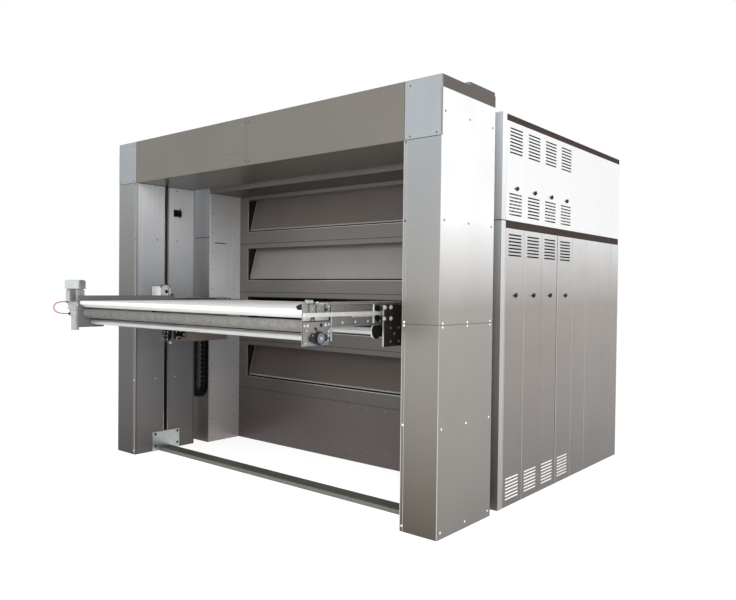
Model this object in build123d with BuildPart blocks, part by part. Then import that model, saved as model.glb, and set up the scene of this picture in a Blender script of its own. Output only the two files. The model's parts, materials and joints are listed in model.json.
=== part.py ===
from build123d import *
import os
from math import atan2, cos, degrees, hypot, radians, sin

# Four-deck bakery oven with a lift loader. A portal of two lift towers and a
# header stands in front of the oven block, cabinets flank the block, and a
# belt table rides up and down the portal and slides into the baking chambers.
# Millimetres. The origin is the middle of the oven block's footprint on the
# floor. +X is to the right, +Y runs into the oven and +Z is up.

os.makedirs("parts", exist_ok=True)

# Plan of the plant
oven_depth = 1960.0
cabinet_reach = 410.0
tower_gap = 130.0
tower_depth = 680.0
bay_half = 1520.0
cabinet_width = 360.0
tower_step = 70.0
tower_width = 300.0
seam = 2.0
fit_gap = 0.3

oven_front = -oven_depth / 2
oven_back = oven_depth / 2
cabinet_front = oven_front - cabinet_reach
tower_back = cabinet_front - tower_gap
portal_front = tower_back - tower_depth
tower_mid = portal_front + tower_depth / 2
oven_half = bay_half
cabinet_half = bay_half + cabinet_width
tower_inner = bay_half + tower_step
portal_half = tower_inner + tower_width

# Heights of the plant
base_height = 546.0
deck_pitch = 513.5
deck_count = 4
crown_height = 325.0
portal_height = 3000.0
header_height = 390.0

decks_top = base_height + deck_count * deck_pitch
oven_height = decks_top + crown_height
header_bottom = portal_height - header_height

# Baking chambers and their fronts
front_sheet = 10.0
side_wall = 134.0
opening_low = 128.0
opening_rise = 330.0
sole_drop = 10.0
ceiling_rise = 57.0
chamber_depth = 1220.0
hood_drop = 8.0

opening_half = oven_half - side_wall
opening_high = opening_low + opening_rise
sole_top = opening_low - sole_drop
chamber_top = opening_high + ceiling_rise
chamber_front = oven_front + front_sheet
chamber_back = chamber_front + chamber_depth

# Deck doors: a leaning flap on a top hinge, with a round bottom bar
door_gap = 10.0
door_sheet = 5.0
door_bar_r = 8.0
door_pin_r = 11.0
door_pin_reach = 24.0
hinge_back = 116.0
hinge_rise = 22.0
bar_back = 25.0
bar_rise = 19.0
door_swing = 104.0
open_deck = 1

door_half = opening_half - door_gap
hinge_y = oven_front + hinge_back
door_drop = opening_high + hinge_rise - opening_low - bar_rise
door_lean = hinge_back - bar_back
door_length = hypot(door_drop, door_lean)
door_tilt = degrees(atan2(door_lean, door_drop))

# Cabinets: front panel, service panels, trim strips and latches
cabinet_skin = 15.0
corner_return = 63.0
panel_pitch = 300.0
louvred_panels = 4
plain_panels = 3
mid_strip_drop = 840.0
mid_strip_height = 55.0
top_strip_height = 48.0
strip_set_in = 5.0
slot_length = 200.0
slot_height = 11.0
slot_pitch = 25.4
upper_slot_rows = (8, 7)
lower_slot_rows = (7, 7)
crown_slot_drop = 229.0
upper_slot_rise = 48.0
lower_slot_drop = 201.0
floor_slot_rise = 57.0
latch_offset = 20.0
upper_latch_rise = 247.0
lower_latch_drop = 502.0
latch_r = 11.0
latch_handle = 36.0
latch_proud = 9.0
finger_slot_starts = (145.0, 55.0)
finger_slot_ends = (330.0, 160.0)
finger_slot_drops = (803.0, 1403.0)
finger_slot_height = 10.0
finger_slot_depth = 5.0

panel_start = cabinet_front + corner_return + seam
panel_x = cabinet_half - cabinet_skin
mid_strip_low = oven_height - mid_strip_drop
mid_strip_high = mid_strip_low + mid_strip_height
top_strip_low = oven_height - top_strip_height
upper_slot_starts = (top_strip_low - crown_slot_drop, mid_strip_high + upper_slot_rise)
lower_slot_starts = (mid_strip_low - lower_slot_drop, floor_slot_rise)
latch_heights = (mid_strip_high + upper_latch_rise, mid_strip_low - lower_latch_drop)

# Portal towers and header
tower_wall = 20.0
inner_sheet = 15.0
cap_height = 81.0
guide_slot = 40.0
guide_slot_low = 190.0
header_depth = 660.0
header_sheet = 10.0
hatch_start = 335.0
hatch_height = 25.0
post_size = 60.0
post_back_gap = 110.0

tower_shell_top = portal_height - cap_height
post_x = portal_half - post_back_gap - post_size / 2

# Floor channel between the towers
beam_start = 265.0
beam_width = 133.0
beam_height = 33.0
beam_wall = 6.0
plate_sheet = 10.0
plate_start = 187.0
plate_width = 310.0
plate_height = 187.0

# Loader table, at the height where it waits in front of the second deck
table_reach = 690.0
table_stop = 90.0
table_rise = 370.5
belt_side_gap = 41.0
belt_thick = 60.0
belt_sheet = 4.0
nose_face = 28.0
lip_run = 50.0
frame_side_gap = 36.0
frame_sheet = 8.0
frame_rise = 46.0
frame_drop = 58.0
end_plate_drop = 168.0
end_plate_run = 237.0
end_plate_proud = 12.0
front_frame_reach = 270.0
rear_frame_rise = 10.0
rail_thick = 20.0
rail_rise = 12.0
rail_height = 26.0
top_bar_r = 8.0
foot_flange = 14.0
drive_roller_r = 39.0
drive_roller_set = 61.0
drive_roller_drop = 47.0
return_tube_r = 23.0
return_tube_set = 122.0
return_tube_drop = 121.0
journal_r = 14.0
drum_r = 25.0
drum_set = 30.0
drum_drop = 103.0
drum_disc_r = 52.0
drum_disc_thick = 14.0
bearing_length = 150.0
bearing_waist = 16.0
bearing_thick = 16.0
bearing_ring_r = 44.0

table_front = portal_front - table_reach
table_back = oven_front - table_stop
belt_half = opening_half - belt_side_gap
belt_under = base_height + open_deck * deck_pitch + table_rise
belt_top = belt_under + belt_thick
frame_in = opening_half - frame_side_gap
frame_out = frame_in + frame_sheet
frame_top = belt_top + frame_rise
frame_low = belt_under - frame_drop
end_plate_low = belt_under - end_plate_drop
end_plate_front = table_front - end_plate_proud
end_plate_back = end_plate_front + end_plate_run
rear_frame_start = portal_front + front_frame_reach
rear_frame_top = belt_top + rear_frame_rise
rail_low = belt_under + rail_rise
rail_high = rail_low + rail_height
rail_out = frame_out + rail_thick
drive_roller_y = table_front + drive_roller_set
drive_roller_z = belt_under - drive_roller_drop
return_tube_y = table_front + return_tube_set
return_tube_z = belt_under - return_tube_drop
drum_y = portal_front + drum_set
drum_z = belt_under - drum_drop

# Energy chain in the gap behind the left tower
chain_thick = 60.0
chain_wide = 58.0
chain_bend = 70.0
chain_clip = 70.0
chain_clear = 5.0
chain_rise = 130.0
chain_fixed_rise = 20.0
chain_drop = 960.0

chain_top = belt_under + chain_rise
chain_fixed_top = belt_under + chain_fixed_rise
chain_low = belt_under - chain_drop

# Geared motor of the belt, outboard of the left end plate
motor_wall_gap = 115.0
motor_set = 26.0
cowl_r = 88.0
stator_r = 76.0
gear_r = 60.0
hub_r = 48.0
stub_r = 32.0
stub_drop = 197.0
hub_drop = 76.0
gear_drop = 20.0
stator_rise = 40.0
cowl_rise = 161.0
motor_rise = 243.0
fin_count = 16
fin_height = 6.0
fin_thick = 4.0
terminal_length = 70.0
terminal_depth = 60.0
terminal_height = 110.0

motor_x = motor_wall_gap - tower_inner
motor_y = table_front + motor_set

# Feed motor of the table, on the left side frame
feed_motor_r = 57.0
feed_motor_set = 171.0
feed_motor_rise = 90.0
feed_motor_gap = 20.0
feed_flange = 20.0

feed_motor_y = portal_front + feed_motor_set
feed_motor_z = belt_top + feed_motor_rise
feed_motor_out = bay_half - feed_motor_gap

# Lift carriage: side plates, arms through the tower slots, guide rollers
carriage_wall_gap = 80.0
carriage_sheet = 12.0
carriage_drop = 202.0
carriage_rise = 85.0
carriage_proud = 17.0
carriage_stop = 235.0
left_plate_set = 160.0
arm_thick = 28.0
right_arm_drop = 140.0
right_arm_rise = 40.0
left_arm_drop = 356.0
left_arm_height = 127.0
shoe_height = 260.0
shoe_cheek = 25.0
shoe_back = 45.0
roller_r = 20.0
roller_frame_gap = 8.0
roller_width = 18.0
axle_r = 8.0
right_roller_set = 22.0
left_roller_set = 30.0
rear_roller_set = 25.0

plate_in = bay_half - carriage_wall_gap
carriage_low = belt_under - carriage_drop
carriage_high = belt_under + carriage_rise
carriage_front = portal_front - carriage_proud
carriage_back = oven_front - carriage_stop
left_plate_start = tower_mid + left_plate_set
right_arm_low = belt_under - right_arm_drop
right_arm_high = belt_under + right_arm_rise
left_arm_low = belt_under - left_arm_drop
left_arm_high = left_arm_low + left_arm_height
roller_in = frame_out + roller_frame_gap
roller_high_z = rail_high + roller_r + fit_gap
roller_low_z = rail_low - roller_r - fit_gap
rear_roller_y = carriage_back - rear_roller_set
right_roller_y = carriage_front + right_roller_set
left_roller_y = left_plate_start + left_roller_set

# Motor lead: a short loop from the gland to the gearbox, held at both ends
lead_r = 4.0
lead_out = 78.0
lead_reach = 72.0
gland_rise = 46.0
lead_drop = 58.0
gland_r = 9.0
gland_length = 10.0


def slab(x0, x1, y0, y1, z0, z1, mode=Mode.ADD):
    """A box between two corners, added to the open part."""
    with BuildSketch(Plane.XY.offset(z0)) as plan:
        with Locations(((x0 + x1) / 2, (y0 + y1) / 2)):
            Rectangle(abs(x1 - x0), abs(y1 - y0))
    extrude(plan.sketch, amount=z1 - z0, mode=mode)


def rod_x(x0, x1, y, z, radius, mode=Mode.ADD):
    """A round bar along X between two planes, added to the open part."""
    low, high = min(x0, x1), max(x0, x1)
    with BuildSketch(Plane.YZ.offset(low)) as section:
        with Locations((y, z)):
            Circle(radius)
    extrude(section.sketch, amount=high - low, mode=mode)


def rod_z(x, y, z0, z1, radius, mode=Mode.ADD):
    """An upright round bar, added to the open part."""
    with BuildSketch(Plane.XY.offset(z0)) as section:
        with Locations((x, y)):
            Circle(radius)
    extrude(section.sketch, amount=z1 - z0, mode=mode)


def save(builder, name):
    """Labels a finished piece and writes its STEP file."""
    builder.part.label = name
    export_step(builder.part, f"parts/{name}.step")


# Oven block: base, chamber floors, walls, crown and rear housing
with BuildPart() as base_plinth:
    slab(-oven_half, oven_half, chamber_front, oven_back, 0, base_height)
save(base_plinth, "base_plinth")

with BuildPart() as base_front_panel:
    slab(-oven_half, oven_half, oven_front, chamber_front, 0, base_height - seam)
save(base_front_panel, "base_front_panel")

with BuildPart() as deck_soles:
    for deck in range(deck_count):
        deck_z = base_height + deck * deck_pitch
        sole_low = deck_z if deck == 0 else deck_z - deck_pitch + chamber_top
        slab(-opening_half, opening_half, chamber_front, chamber_back, sole_low, deck_z + sole_top)
save(deck_soles, "deck_soles")

with BuildPart() as oven_side_walls:
    for side in (-1, 1):
        slab(side * opening_half, side * oven_half, chamber_front, chamber_back, base_height, decks_top)
    for deck in range(deck_count):
        hinge_z = base_height + deck * deck_pitch + opening_high + hinge_rise
        for side in (-1, 1):
            bore_end = side * (door_half + door_pin_reach + fit_gap)
            rod_x(side * opening_half, bore_end, hinge_y, hinge_z, door_pin_r + fit_gap, Mode.SUBTRACT)
save(oven_side_walls, "oven_side_walls")

with BuildPart() as rear_housing:
    slab(-oven_half, oven_half, chamber_back, oven_back, base_height, decks_top)
save(rear_housing, "rear_housing")

with BuildPart() as oven_crown:
    slab(-oven_half, oven_half, oven_front + seam, oven_back, decks_top, oven_height)
save(oven_crown, "oven_crown")

with BuildPart() as extraction_hood:
    slab(-oven_half, oven_half, cabinet_front, oven_front, decks_top - hood_drop, oven_height)
save(extraction_hood, "extraction_hood")

# Deck fronts: one pressed frame a deck, open where the chamber is
with BuildPart() as deck_fronts:
    for deck in range(deck_count):
        deck_z = base_height + deck * deck_pitch
        frame_high = deck_pitch - (hood_drop + seam if deck == deck_count - 1 else seam)
        slab(-oven_half, oven_half, oven_front, chamber_front, deck_z, deck_z + frame_high)
        slab(-opening_half, opening_half, oven_front, chamber_front,
             deck_z + opening_low, deck_z + opening_high, Mode.SUBTRACT)
save(deck_fronts, "deck_fronts")


def deck_door(deck, swing):
    """One flap door, swung inwards by an angle from its leaning closed place."""
    hinge_z = base_height + deck * deck_pitch + opening_high + hinge_rise
    turn = radians(swing - door_tilt)
    reach_y = door_length * sin(turn)
    reach_z = -door_length * cos(turn)
    with BuildPart() as door:
        with BuildSketch(Plane.YZ.offset(-door_half)) as profile:
            with Locations((hinge_y + reach_y / 2, hinge_z + reach_z / 2)):
                Rectangle(door_length, door_sheet, rotation=degrees(atan2(reach_z, reach_y)))
            with Locations((hinge_y + reach_y, hinge_z + reach_z)):
                Circle(door_bar_r)
        extrude(profile.sketch, amount=2 * door_half)
        pin_end = door_half + door_pin_reach
        rod_x(-pin_end, pin_end, hinge_y, hinge_z, door_pin_r)
    return door


for deck in range(deck_count):
    door = deck_door(deck, door_swing if deck == open_deck else 0.0)
    save(door, f"deck_{deck + 1}_door")


# Side cabinets: bodies, wrapped front panels, service panels, strips, latches
def cabinet_body(side):
    """The closed body of one cabinet, with the finger slots of its inner face."""
    with BuildPart() as body:
        slab(side * bay_half, side * panel_x, cabinet_front + cabinet_skin, oven_back, 0, oven_height)
        for slot_start, slot_end, drop in zip(finger_slot_starts, finger_slot_ends, finger_slot_drops):
            slot_z = oven_height - drop
            slab(side * bay_half, side * (bay_half + finger_slot_depth),
                 cabinet_front + slot_start, cabinet_front + slot_end,
                 slot_z - finger_slot_height / 2, slot_z + finger_slot_height / 2, Mode.SUBTRACT)
    return body


save(cabinet_body(-1), "left_cabinet")
save(cabinet_body(1), "right_cabinet")

with BuildPart() as cabinet_front_panels:
    for side in (-1, 1):
        for low, high in ((0.0, mid_strip_high - seam), (mid_strip_high, oven_height)):
            slab(side * bay_half, side * cabinet_half,
                 cabinet_front, cabinet_front + cabinet_skin, low, high)
            slab(side * panel_x, side * cabinet_half,
                 cabinet_front + cabinet_skin, cabinet_front + corner_return, low, high)
save(cabinet_front_panels, "cabinet_front_panels")


def service_row(side, low, high, slot_starts, slot_rows):
    """One row of lift-off panels: louvred ones in front, plain ones behind."""
    sheet_starts = [panel_start + index * panel_pitch for index in range(louvred_panels + plain_panels + 1)]
    sheet_ends = [start - seam for start in sheet_starts[1:]] + [oven_back]
    slot_places = [
        (sheet_starts[0] + (column + 0.5) * panel_pitch - seam / 2, first + row * slot_pitch)
        for column in range(louvred_panels)
        for first, rows in zip(slot_starts, slot_rows)
        for row in range(rows)
    ]
    with BuildPart() as panels:
        with BuildSketch(Plane.YZ.offset(side * panel_x)) as sheets:
            for start, end in zip(sheet_starts, sheet_ends):
                with Locations(((start + end) / 2, (low + high) / 2)):
                    Rectangle(end - start, high - low)
            with Locations(*slot_places):
                Rectangle(slot_length, slot_height, mode=Mode.SUBTRACT)
        extrude(sheets.sketch, amount=side * cabinet_skin)
    return panels


for side, hand in ((-1, "left"), (1, "right")):
    save(service_row(side, seam, mid_strip_low - seam, lower_slot_starts, lower_slot_rows),
         f"{hand}_lower_panels")
    save(service_row(side, mid_strip_high + seam, top_strip_low - seam, upper_slot_starts, upper_slot_rows),
         f"{hand}_upper_panels")

with BuildPart() as trim_strips:
    for side in (-1, 1):
        for low, high in ((mid_strip_low, mid_strip_high), (top_strip_low, oven_height)):
            slab(side * panel_x, side * (cabinet_half - strip_set_in), panel_start, oven_back, low, high)
save(trim_strips, "trim_strips")

latch_places = [
    (panel_start + (index + 0.5) * panel_pitch + latch_offset, latch_z)
    for index in range(louvred_panels)
    for latch_z in latch_heights
]
with BuildPart() as panel_latches:
    for side in (-1, 1):
        with BuildSketch(Plane.YZ.offset(side * cabinet_half)):
            with Locations(*latch_places):
                Circle(latch_r)
                Rectangle(latch_handle, latch_r)
        extrude(amount=side * latch_proud)
save(panel_latches, "panel_latches")


# Portal: tower shells, slotted inner panels, guide posts, caps and header
def tower_shell(side):
    """Front, outer and rear walls of one tower, open towards the table."""
    inner, outer = side * tower_inner, side * portal_half
    cavity = side * (portal_half - tower_wall)
    with BuildPart() as shell:
        slab(inner, outer, portal_front, tower_back, 0, tower_shell_top)
        slab(inner, cavity, portal_front + tower_wall, tower_back - tower_wall,
             0, tower_shell_top - tower_wall, Mode.SUBTRACT)
        slab(inner, outer, portal_front, portal_front + header_sheet,
             header_bottom - seam, tower_shell_top, Mode.SUBTRACT)
        slab(inner, cavity, portal_front, tower_back - tower_wall,
             header_bottom - seam, tower_shell_top - tower_wall, Mode.SUBTRACT)
    return shell


def tower_inner_panel(side):
    """The tower's inner face, with the upright slot that the lift arm runs in."""
    inner, outer = side * tower_inner, side * (tower_inner + inner_sheet)
    with BuildPart() as panel:
        slab(inner, outer, portal_front + tower_wall, tower_back - tower_wall, 0, header_bottom - seam)
        slab(inner, outer, tower_mid - guide_slot / 2, tower_mid + guide_slot / 2,
             guide_slot_low, header_bottom - seam, Mode.SUBTRACT)
    return panel


for side, hand in ((-1, "left"), (1, "right")):
    save(tower_shell(side), f"{hand}_tower")
    save(tower_inner_panel(side), f"{hand}_tower_inner_panel")

with BuildPart() as lift_guide_posts:
    for side in (-1, 1):
        slab(side * (post_x - post_size / 2), side * (post_x + post_size / 2),
             tower_mid - post_size / 2, tower_mid + post_size / 2, 0, tower_shell_top - tower_wall)
save(lift_guide_posts, "lift_guide_posts")

with BuildPart() as header_beam:
    slab(-tower_inner, tower_inner, portal_front + header_sheet, portal_front + header_depth,
         header_bottom, portal_height)
save(header_beam, "header_beam")

with BuildPart() as header_front_panels:
    for side in (-1, 1):
        slab(side * seam / 2, side * (tower_inner - seam / 2),
             portal_front, portal_front + header_sheet, header_bottom, portal_height)
        slab(side * (tower_inner + seam / 2), side * portal_half,
             portal_front, portal_front + header_sheet, header_bottom, portal_height)
save(header_front_panels, "header_front_panels")

with BuildPart() as tower_caps:
    for side in (-1, 1):
        slab(side * tower_inner, side * portal_half, portal_front + header_sheet, tower_back,
             tower_shell_top, portal_height)
save(tower_caps, "tower_caps")

with BuildPart() as roof_hatches:
    for side in (-1, 1):
        slab(side * (tower_inner + header_sheet), side * portal_half,
             portal_front + hatch_start, tower_back - header_sheet,
             portal_height, portal_height + hatch_height)
save(roof_hatches, "roof_hatches")

# Floor channel that ties the towers together, and its end plates
with BuildPart() as floor_channel:
    channel_end = tower_inner - plate_sheet
    channel_front = portal_front + beam_start
    slab(-channel_end, channel_end, channel_front, channel_front + beam_width, 0, beam_height)
    slab(-channel_end, channel_end, channel_front + beam_wall, channel_front + beam_width - beam_wall,
         0, beam_height - beam_wall, Mode.SUBTRACT)
save(floor_channel, "floor_channel")

with BuildPart() as channel_end_plates:
    for side in (-1, 1):
        slab(side * (tower_inner - plate_sheet), side * tower_inner,
             portal_front + plate_start, portal_front + plate_start + plate_width, 0, plate_height)
save(channel_end_plates, "channel_end_plates")

# Energy chain: two strands and the bend between them
chain_right = -bay_half + chain_clear
chain_left = chain_right - 2 * (chain_thick + chain_bend)
chain_mid = (chain_right + chain_left) / 2
chain_front = cabinet_front - chain_clear - chain_wide
bend_z = chain_low + chain_thick + chain_bend
with BuildPart() as energy_chain:
    with BuildSketch(Plane.XZ.offset(-chain_front)) as bend:
        with Locations((chain_mid, bend_z)):
            Circle(chain_thick + chain_bend)
            Circle(chain_bend, mode=Mode.SUBTRACT)
        with Locations((chain_mid, bend_z + chain_thick + chain_bend)):
            Rectangle(3 * (chain_thick + chain_bend), 2 * (chain_thick + chain_bend), mode=Mode.SUBTRACT)
    extrude(bend.sketch, amount=-chain_wide)
    slab(chain_right - chain_thick, chain_right, chain_front, chain_front + chain_wide, bend_z, chain_top)
    slab(chain_left, chain_left + chain_thick, chain_front, chain_front + chain_wide,
         bend_z, chain_fixed_top)
save(energy_chain, "energy_chain")

with BuildPart() as chain_bracket:
    slab(chain_left, chain_left + chain_thick, tower_back, chain_front,
         chain_fixed_top - chain_clip, chain_fixed_top)
save(chain_bracket, "chain_bracket")

# Lift carriage
tower_slot_reach = post_x - post_size / 2 - fit_gap


def guide_shoe(side, middle):
    """The shoe that wraps the guide post on three sides, at the arm's end."""
    low, high = middle - shoe_height / 2, middle + shoe_height / 2
    half = post_size / 2 + fit_gap
    slab(side * (tower_slot_reach - shoe_back), side * (post_x + post_size / 4),
         tower_mid - half - shoe_cheek, tower_mid + half + shoe_cheek, low, high)
    slab(side * tower_slot_reach, side * (post_x + post_size),
         tower_mid - half, tower_mid + half, low, high, Mode.SUBTRACT)


with BuildPart() as right_lift_arm:
    slab(plate_in + carriage_sheet, tower_slot_reach - shoe_back,
         tower_mid - arm_thick / 2, tower_mid + arm_thick / 2, right_arm_low, right_arm_high)
    guide_shoe(1, (right_arm_low + right_arm_high) / 2)
save(right_lift_arm, "right_lift_arm")

with BuildPart() as left_lift_arm:
    slab(-(tower_slot_reach - shoe_back), -(plate_in + carriage_sheet),
         tower_mid - arm_thick / 2, tower_mid + arm_thick / 2, left_arm_low, left_arm_high)
    guide_shoe(-1, (left_arm_low + left_arm_high) / 2)
save(left_lift_arm, "left_lift_arm")

with BuildPart() as right_carriage_plate:
    slab(plate_in, plate_in + carriage_sheet, carriage_front, carriage_back, carriage_low, carriage_high)
save(right_carriage_plate, "right_carriage_plate")

with BuildPart() as left_carriage_plate:
    with BuildSketch(Plane.YZ.offset(-plate_in - carriage_sheet)) as outline:
        with BuildLine():
            Polyline(
                (tower_mid - arm_thick, left_arm_low),
                (carriage_back, left_arm_low),
                (carriage_back, carriage_high),
                (left_plate_start, carriage_high),
                (left_plate_start, left_arm_high),
                (tower_mid - arm_thick, left_arm_high),
                close=True,
            )
        make_face()
    extrude(outline.sketch, amount=carriage_sheet)
save(left_carriage_plate, "left_carriage_plate")


def guide_rollers(side, places):
    """Pairs of rollers that hold a rack rail from above and below."""
    spots = [(place, height) for place in places for height in (roller_high_z, roller_low_z)]
    axle_in = roller_in + roller_width
    with BuildPart() as rollers:
        with BuildSketch(Plane.YZ.offset(side * roller_in)) as wheels:
            with Locations(*spots):
                Circle(roller_r)
        extrude(wheels.sketch, amount=side * roller_width)
        with BuildSketch(Plane.YZ.offset(side * axle_in)) as axles:
            with Locations(*spots):
                Circle(axle_r)
        extrude(axles.sketch, amount=side * (plate_in - axle_in))
    return rollers


right_middle_y = (right_roller_y + rear_roller_y) / 2
save(guide_rollers(-1, (left_roller_y, rear_roller_y)), "left_guide_rollers")
save(guide_rollers(1, (right_roller_y, right_middle_y, rear_roller_y)), "right_guide_rollers")

# Loader table: side frames with end plates, rack rails, belt, bed and rollers

def side_frame(side):
    """One side of the table: end plate, front beam with its foot, slim rear beam."""
    inner, outer = side * frame_in, side * frame_out
    with BuildPart() as frame:
        with BuildSketch(Plane.YZ.offset(min(inner, outer))) as outline:
            with BuildLine():
                Polyline(
                    (end_plate_front, end_plate_low),
                    (end_plate_back, end_plate_low),
                    (end_plate_back, frame_low),
                    (rear_frame_start, frame_low),
                    (rear_frame_start, belt_under),
                    (table_back, belt_under),
                    (table_back, rear_frame_top),
                    (rear_frame_start, rear_frame_top),
                    (rear_frame_start, frame_top),
                    (end_plate_front, frame_top),
                    close=True,
                )
            make_face()
        extrude(outline.sketch, amount=frame_sheet)
        slab(outer, outer + side * foot_flange, end_plate_back, rear_frame_start,
             frame_low, frame_low + frame_sheet)
        with BuildSketch(Plane.XZ.offset(-end_plate_back)) as top_bar:
            with Locations((side * (frame_out + top_bar_r), frame_top - top_bar_r)):
                Circle(top_bar_r)
                Rectangle(2 * top_bar_r, top_bar_r / 2)
        extrude(top_bar.sketch, amount=end_plate_back - rear_frame_start)
    return frame


save(side_frame(-1), "left_side_frame")
save(side_frame(1), "right_side_frame")

with BuildPart() as rack_rails:
    for side in (-1, 1):
        slab(side * frame_out, side * rail_out, end_plate_front, table_back, rail_low, rail_high)
save(rack_rails, "rack_rails")

with BuildPart() as loader_belt:
    with BuildSketch(Plane.YZ.offset(-belt_half)) as loop:
        with BuildLine():
            Polyline(
                (table_front, belt_top),
                (table_front, belt_top - nose_face),
                (table_front + lip_run, belt_under + belt_sheet),
                (table_back, belt_under + belt_sheet),
                (table_back, belt_top),
                close=True,
            )
        make_face()
        fillet(loop.vertices().group_by(Axis.X)[0], nose_face / 2 - 1)
        fillet(loop.vertices().group_by(Axis.X)[-1], (belt_top - belt_under) / 2 - belt_sheet)
        offset(amount=-belt_sheet, mode=Mode.SUBTRACT)
    extrude(loop.sketch, amount=2 * belt_half)
save(loader_belt, "loader_belt")

with BuildPart() as belt_bed:
    slab(-belt_half, belt_half, table_front + lip_run + 2 * belt_sheet, table_back - lip_run,
         belt_under + 2 * belt_sheet + fit_gap, belt_top - belt_sheet - fit_gap)
    for side in (-1, 1):
        slab(side * belt_half, side * (frame_in - fit_gap),
             table_front + 2 * lip_run, table_back - 2 * lip_run,
             belt_under + 3 * belt_sheet, belt_top - 3 * belt_sheet)
save(belt_bed, "belt_bed")


def roller(y, z, radius, neck_r):
    """A full-width roller with a journal at each end."""
    with BuildPart() as piece:
        rod_x(-belt_half, belt_half, y, z, radius)
        rod_x(-frame_in + fit_gap, frame_in - fit_gap, y, z, neck_r)
    return piece


save(roller(drive_roller_y, drive_roller_z, drive_roller_r, journal_r), "drive_roller")
save(roller(return_tube_y, return_tube_z, return_tube_r, journal_r), "return_tube")

with BuildPart() as rear_drum:
    rod_x(-belt_half, belt_half, drum_y, drum_z, drum_r)
    for side in (-1, 1):
        rod_x(side * (frame_in - drum_disc_thick), side * frame_in, drum_y, drum_z, drum_disc_r)
        slab(side * (frame_in - drum_disc_thick), side * (frame_in - fit_gap),
             drum_y - drum_r, drum_y + drum_r, drum_z, belt_under)
save(rear_drum, "rear_drum")

with BuildPart() as end_bearings:
    for side in (-1, 1):
        with BuildSketch(Plane.YZ.offset(side * frame_out)) as rhomb:
            with Locations((return_tube_y, return_tube_z)):
                Circle(bearing_ring_r)
            with BuildLine():
                Polyline(
                    (return_tube_y - bearing_length / 2, return_tube_z - bearing_waist),
                    (return_tube_y, return_tube_z - bearing_ring_r),
                    (return_tube_y + bearing_length / 2, return_tube_z - bearing_waist),
                    (return_tube_y + bearing_length / 2, return_tube_z + bearing_waist),
                    (return_tube_y, return_tube_z + bearing_ring_r),
                    (return_tube_y - bearing_length / 2, return_tube_z + bearing_waist),
                    close=True,
                )
            make_face()
        extrude(rhomb.sketch, amount=side * bearing_thick)
        rod_x(side * (frame_out + bearing_thick), side * (frame_out + 2 * bearing_thick),
              return_tube_y, return_tube_z, bearing_ring_r * 0.8)
save(end_bearings, "end_bearings")

stub_z = belt_under - stub_drop
hub_z = belt_under - hub_drop
gear_z = belt_under - gear_drop
stator_z = belt_under + stator_rise
cowl_z = belt_under + cowl_rise
motor_top = belt_under + motor_rise
gland_z = belt_under + gland_rise
lead_end_z = belt_under - lead_drop
lead_x = motor_x - lead_out
lead_y = motor_y - stator_r - lead_reach
high_gland = Vector(motor_x, motor_y - stator_r, gland_z)
low_gland = Vector(motor_x, motor_y - hub_r, lead_end_z)
high_turn = Vector(lead_x, lead_y, gland_z)
low_turn = Vector(lead_x, lead_y, lead_end_z)
high_heading = (high_turn - high_gland).normalized()
low_heading = (low_turn - low_gland).normalized()
with BuildPart() as belt_gearmotor:
    rod_z(motor_x, motor_y, stub_z, hub_z, stub_r)
    rod_z(motor_x, motor_y, hub_z, gear_z, hub_r)
    rod_z(motor_x, motor_y, gear_z, stator_z, gear_r)
    with BuildSketch(Plane.XY.offset(stator_z)):
        with Locations((motor_x, motor_y)):
            Circle(stator_r - fin_height)
            with PolarLocations(stator_r - fin_height, fin_count):
                Rectangle(2 * fin_height, fin_thick)
    extrude(amount=cowl_z - stator_z)
    rod_z(motor_x, motor_y, cowl_z, motor_top, cowl_r)
    slab(motor_x, motor_x + terminal_length, motor_y - cowl_r, motor_y - cowl_r + terminal_depth,
         cowl_z - terminal_height, cowl_z - fin_height)
    rod_x(motor_x, -frame_out, drive_roller_y, drive_roller_z, journal_r * 2)
    for gland, heading in ((high_gland, high_heading), (low_gland, low_heading)):
        with BuildSketch(Plane(origin=gland - heading * gland_length, z_dir=heading)) as gland_face:
            Circle(gland_r)
        extrude(gland_face.sketch, amount=2 * gland_length)
save(belt_gearmotor, "belt_gearmotor")

with BuildPart() as feed_motor:
    rod_x(-feed_motor_out, -(frame_out + 2 * top_bar_r + feed_flange),
          feed_motor_y, feed_motor_z, feed_motor_r)
    slab(-(frame_out + 2 * top_bar_r + feed_flange), -frame_in,
         feed_motor_y - feed_motor_r, feed_motor_y + feed_motor_r,
         frame_top, feed_motor_z + feed_motor_r)
save(feed_motor, "feed_motor")

# Motor lead: from the upper gland round to the lower one, with an even arc at each turn
def corner_radii(route):
    """The largest arc at each corner that its two runs allow."""
    radii = []
    for before, corner, after in zip(route, route[1:], route[2:]):
        first = corner - before
        second = after - corner
        shorter = min(first.length, second.length)
        half_turn = radians(first.get_angle(second) / 2)
        radii.append(0.45 * shorter / (sin(half_turn) / cos(half_turn)))
    return radii


lead_run = gland_length + fit_gap
lead_route = [high_gland + high_heading * lead_run, high_turn, low_turn, low_gland + low_heading * lead_run]
lead_radii = corner_radii(lead_route)
print("lead radii", [round(radius, 1) for radius in lead_radii])
with BuildPart() as motor_lead:
    with BuildLine() as lead_path:
        FilletPolyline(*lead_route, radius=lead_radii)
    with BuildSketch(Plane(origin=lead_route[0], z_dir=high_heading)) as lead_section:
        Circle(lead_r)
    sweep(lead_section.sketch, path=lead_path.wire())
print("lead length", round(lead_path.wire().length, 1), "volume", round(motor_lead.part.volume, 1))
save(motor_lead, "motor_lead")
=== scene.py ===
"""Finishes, small parts, light and camera for the deck oven with its lift loader.

Sizes are in millimetres of the shared frame: X across the oven front, Y into the oven, Z up.
"""

import json
import logging
import math
from dataclasses import dataclass, field, replace
from enum import Enum

import bmesh
import bpy
from mathutils import Matrix, Vector

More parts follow.
